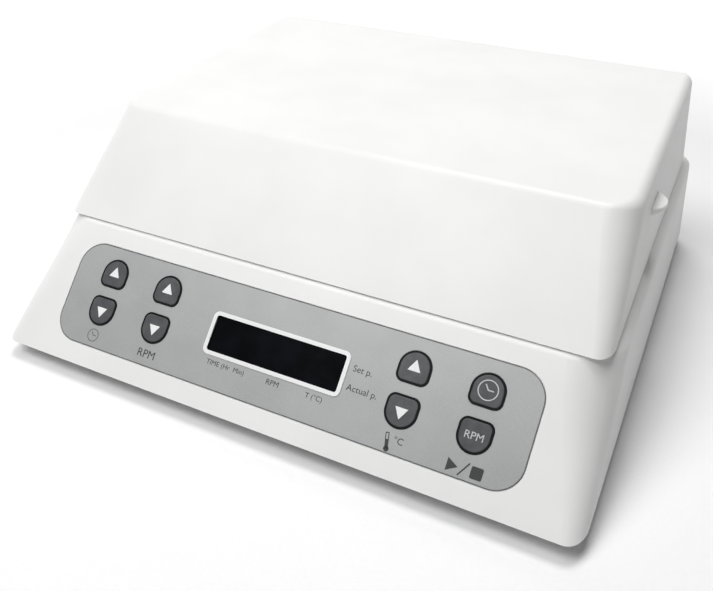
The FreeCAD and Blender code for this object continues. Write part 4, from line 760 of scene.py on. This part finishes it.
def panel_film():
    """Printed film over the panel, with openings for the keys and the display's border."""
    low, high = slope_span("panel_overlay")
    frame_low, frame_high = slope_span("display_frame")
    middle = (low.y + high.y) / 2
    depth = FILM_TOP - FILM_LOW
    cut_depth = 4 * depth
    cut_start = -2 * depth * MM
    inset = 2 * FILM_INSET * MM
    film = rounded_plate(
        high.x - low.x - inset,
        high.y - low.y - inset,
        (PANEL_RADIUS - FILM_INSET) * MM,
        PANEL_SEGMENTS,
        depth * MM,
    )
    cutters = []
    for node, (_, upright) in KEYS.items():
        x, up = key_place(node, upright)
        cutter = key_plate(KEY_HOLE_GAP, upright, cut_depth)
        cutter.location = (x, up - middle, cut_start)
        bake_place(cutter)
        cutters.append(cutter)
    window = rounded_plate(
        frame_high.x - frame_low.x,
        frame_high.y - frame_low.y,
        DISPLAY_RADIUS * MM,
        DISPLAY_SEGMENTS,
        cut_depth * MM,
    )
    window.location = (0, (frame_low.y + frame_high.y) / 2 - middle, cut_start)
    bake_place(window)
    cutter = join(cutters + [window])
    only(film)
    modifier = film.modifiers.new("openings", "BOOLEAN")
    modifier.object = cutter
    modifier.operation = "DIFFERENCE"
    modifier.solver = "EXACT"
    bpy.ops.object.modifier_apply(modifier=modifier.name)
    bpy.data.objects.remove(cutter)
    on_slope(film, 0, middle, FILM_LOW * MM)
    finish_piece(film, "panel_film", printed_film, "root")


def print_on_panel(piece, name, x_mm, up_mm, material):
    """Lays a printed mark on the film, its place in millimetres on the slope."""
    thicken(piece, INK * MM)
    on_slope(piece, x_mm * MM, up_mm * MM, FILM_TOP * MM)
    finish_piece(piece, name, material, "root")


# Words on the film: piece, word, height of a capital, and place across and up the slope
PANEL_WORDS = [
    ("mark_speed", "RPM", 3.5, -58.2, 14.4),
    ("mark_degree", "°C", 2.6, 61.2, 15.0),
    ("mark_time", "TIME (Hr  Min)", 2.1, -19.5, 20.2),
    ("mark_display_speed", "RPM", 2.3, 3.4, 20.2),
    ("mark_temperature", "T (°C)", 2.1, 22.6, 20.2),
    ("mark_set", "Set p.", 2.6, 38.8, 36.2),
    ("mark_actual", "Actual p.", 2.6, 41.0, 28.4),
]


def panel_marks():
    """The generic words and signs that are printed on the film."""
    for name, word, height, x, up in PANEL_WORDS:
        print_on_panel(lettering(word, height * MM), name, x, up, black_ink)
    face = clock(CLOCK_PANEL_RADIUS * MM, CLOCK_PANEL_LINE * MM, CLOCK_PANEL_HAND)
    print_on_panel(face, "mark_clock", -88.0, 14.6, grey_ink)
    print_on_panel(thermometer(7.4 * MM), "mark_thermometer", 56.8, 13.6, black_ink)
    play = triangle(2.9 * MM, math.radians(-90))
    play.location = (-5.0 * MM, 0, 0)
    bake_place(play)
    stop = bar(4.6 * MM, 4.6 * MM, 0, 5.2 * MM, 0)
    slash = bar(6.6 * MM, 0.55 * MM, math.radians(58), 0.2 * MM, 0)
    print_on_panel(join([play, stop, slash]), "mark_run_stop", 87.6, 13.4, black_ink)


def rocker_facets():
    """Middle and normal of the rocker's two outer facets, the lower one first."""
    groups = {}
    for face in frame["nodes"]["power_rocker"].data.polygons:
        if face.normal.y > FACES_REAR:
            groups.setdefault(round(face.normal.z, 2), []).append(face)
    broad = sorted(groups.values(), key=lambda faces: -sum(face.area for face in faces))[:2]
    facets = []
    for faces in broad:
        area = sum(face.area for face in faces)
        middle = sum((face.center * face.area for face in faces), Vector()) / area
        facets.append((middle, faces[0].normal.copy()))
    return sorted(facets, key=lambda facet: facet[0].z)


def rocker_marks():
    """White bar on the rocker's upper facet and ring on the lower one."""
    ring_mark = ring(1.7 * MM, 0.45 * MM)
    bar_mark = bar(0.5 * MM, 3.4 * MM)
    names = ("rocker_mark_off", "rocker_mark_on")
    for piece, name, (middle, normal) in zip((ring_mark, bar_mark), names, rocker_facets()):
        thicken(piece, PLATE * MM)
        rise = Vector((0, 0, 1)) - normal * normal.z
        rise.normalize()
        turn = Matrix((rise.cross(normal), rise, normal)).transposed()
        piece.rotation_euler = turn.to_euler()
        piece.location = middle
        bake_place(piece)
        finish_piece(piece, name, white_ink, "power_rocker")


def studio():
    """Camera, pale floor, white surroundings and soft lamps."""
    scene = bpy.context.scene
    camera = bpy.data.objects.new("camera", bpy.data.cameras.new("camera"))
    scene.collection.objects.link(camera)
    camera.location = CAMERA_PLACE
    camera.rotation_euler = CAMERA_TURN
    camera.data.lens = CAMERA_LENS
    camera.data.sensor_width = 36
    camera.data.clip_start = 0.01
    scene.camera = camera
    scene.view_settings.view_transform = "Standard"

    deselect()
    bpy.ops.mesh.primitive_plane_add(size=FLOOR_SIDE, location=(0, 0, 0))
    floor = bpy.context.active_object
    floor.name = "floor"
    floor.data.materials.append(floor_paper())

    for name, place, side, power in LAMPS:
        soft_lamp(name, place, side, power)
    surroundings(scene)


def seen_rays(tree):
    """One for the rays that show a surface: camera, mirrored and transmitted ones."""
    rays = add(tree, "ShaderNodeLightPath")
    seen = rays.outputs["Is Camera Ray"]
    for kind in ("Is Glossy Ray", "Is Transmission Ray"):
        links = {0: seen, 1: rays.outputs[kind]}
        seen = add(tree, "ShaderNodeMath", links=links, operation="MAXIMUM").outputs[0]
    return seen


def floor_paper():
    """White paper sweep: matt and even. Away from the lamps it glows a little for the
    rays that show it, so that it reads white and still carries the object's shadow."""
    material, tree, shader, place = new_finish("floor_paper", Roughness=0.9)
    tooth = grain(tree, place, 1.5, 3)
    tree.links.new(tint(tree, tooth, "#F6F6F6", "#FBFBFB"), shader.inputs["Base Color"])
    reach = add(tree, "ShaderNodeVectorMath", links={0: place}, operation="LENGTH")
    glow = spread(tree, reach.outputs["Value"], *FLOOR_GLOW, *FLOOR_GLOW_REACH)
    links = {0: glow, 1: seen_rays(tree)}
    lift = add(tree, "ShaderNodeMath", links=links, operation="MULTIPLY")
    shader.inputs["Emission Color"].default_value = (1, 1, 1, 1)
    tree.links.new(lift.outputs[0], shader.inputs["Emission Strength"])
    return material


def soft_lamp(name, place, side, power):
    """Square soft box that looks at the object."""
    lamp = bpy.data.objects.new(name, bpy.data.lights.new(name, "AREA"))
    bpy.context.scene.collection.objects.link(lamp)
    lamp.data.size = side
    lamp.data.energy = power
    lamp.location = place
    look = Vector(LAMP_TARGET) - Vector(place)
    lamp.rotation_euler = look.to_track_quat("-Z", "Y").to_euler()


def surroundings(scene):
    """White backdrop for the camera and its reflections; a dimmer room for the light."""
    world = bpy.data.worlds.new("room")
    scene.world = world
    world.use_nodes = True
    tree = world.node_tree
    tree.nodes.clear()
    shown = {"To Min": ROOM_LIGHT, "To Max": ROOM_SEEN}
    strength = add(tree, "ShaderNodeMapRange", shown, {"Value": seen_rays(tree)}).outputs[0]
    values = {"Color": (1, 1, 1, 1)}
    white = add(tree, "ShaderNodeBackground", values, {"Strength": strength})
    add(tree, "ShaderNodeOutputWorld", links={"Surface": white.outputs[0]})


studio()
dress_frame()
for key_node, (key_mark, key_upright) in KEYS.items():
    key_cap(key_node, key_mark, key_upright)
panel_film()
panel_marks()
rocker_marks()
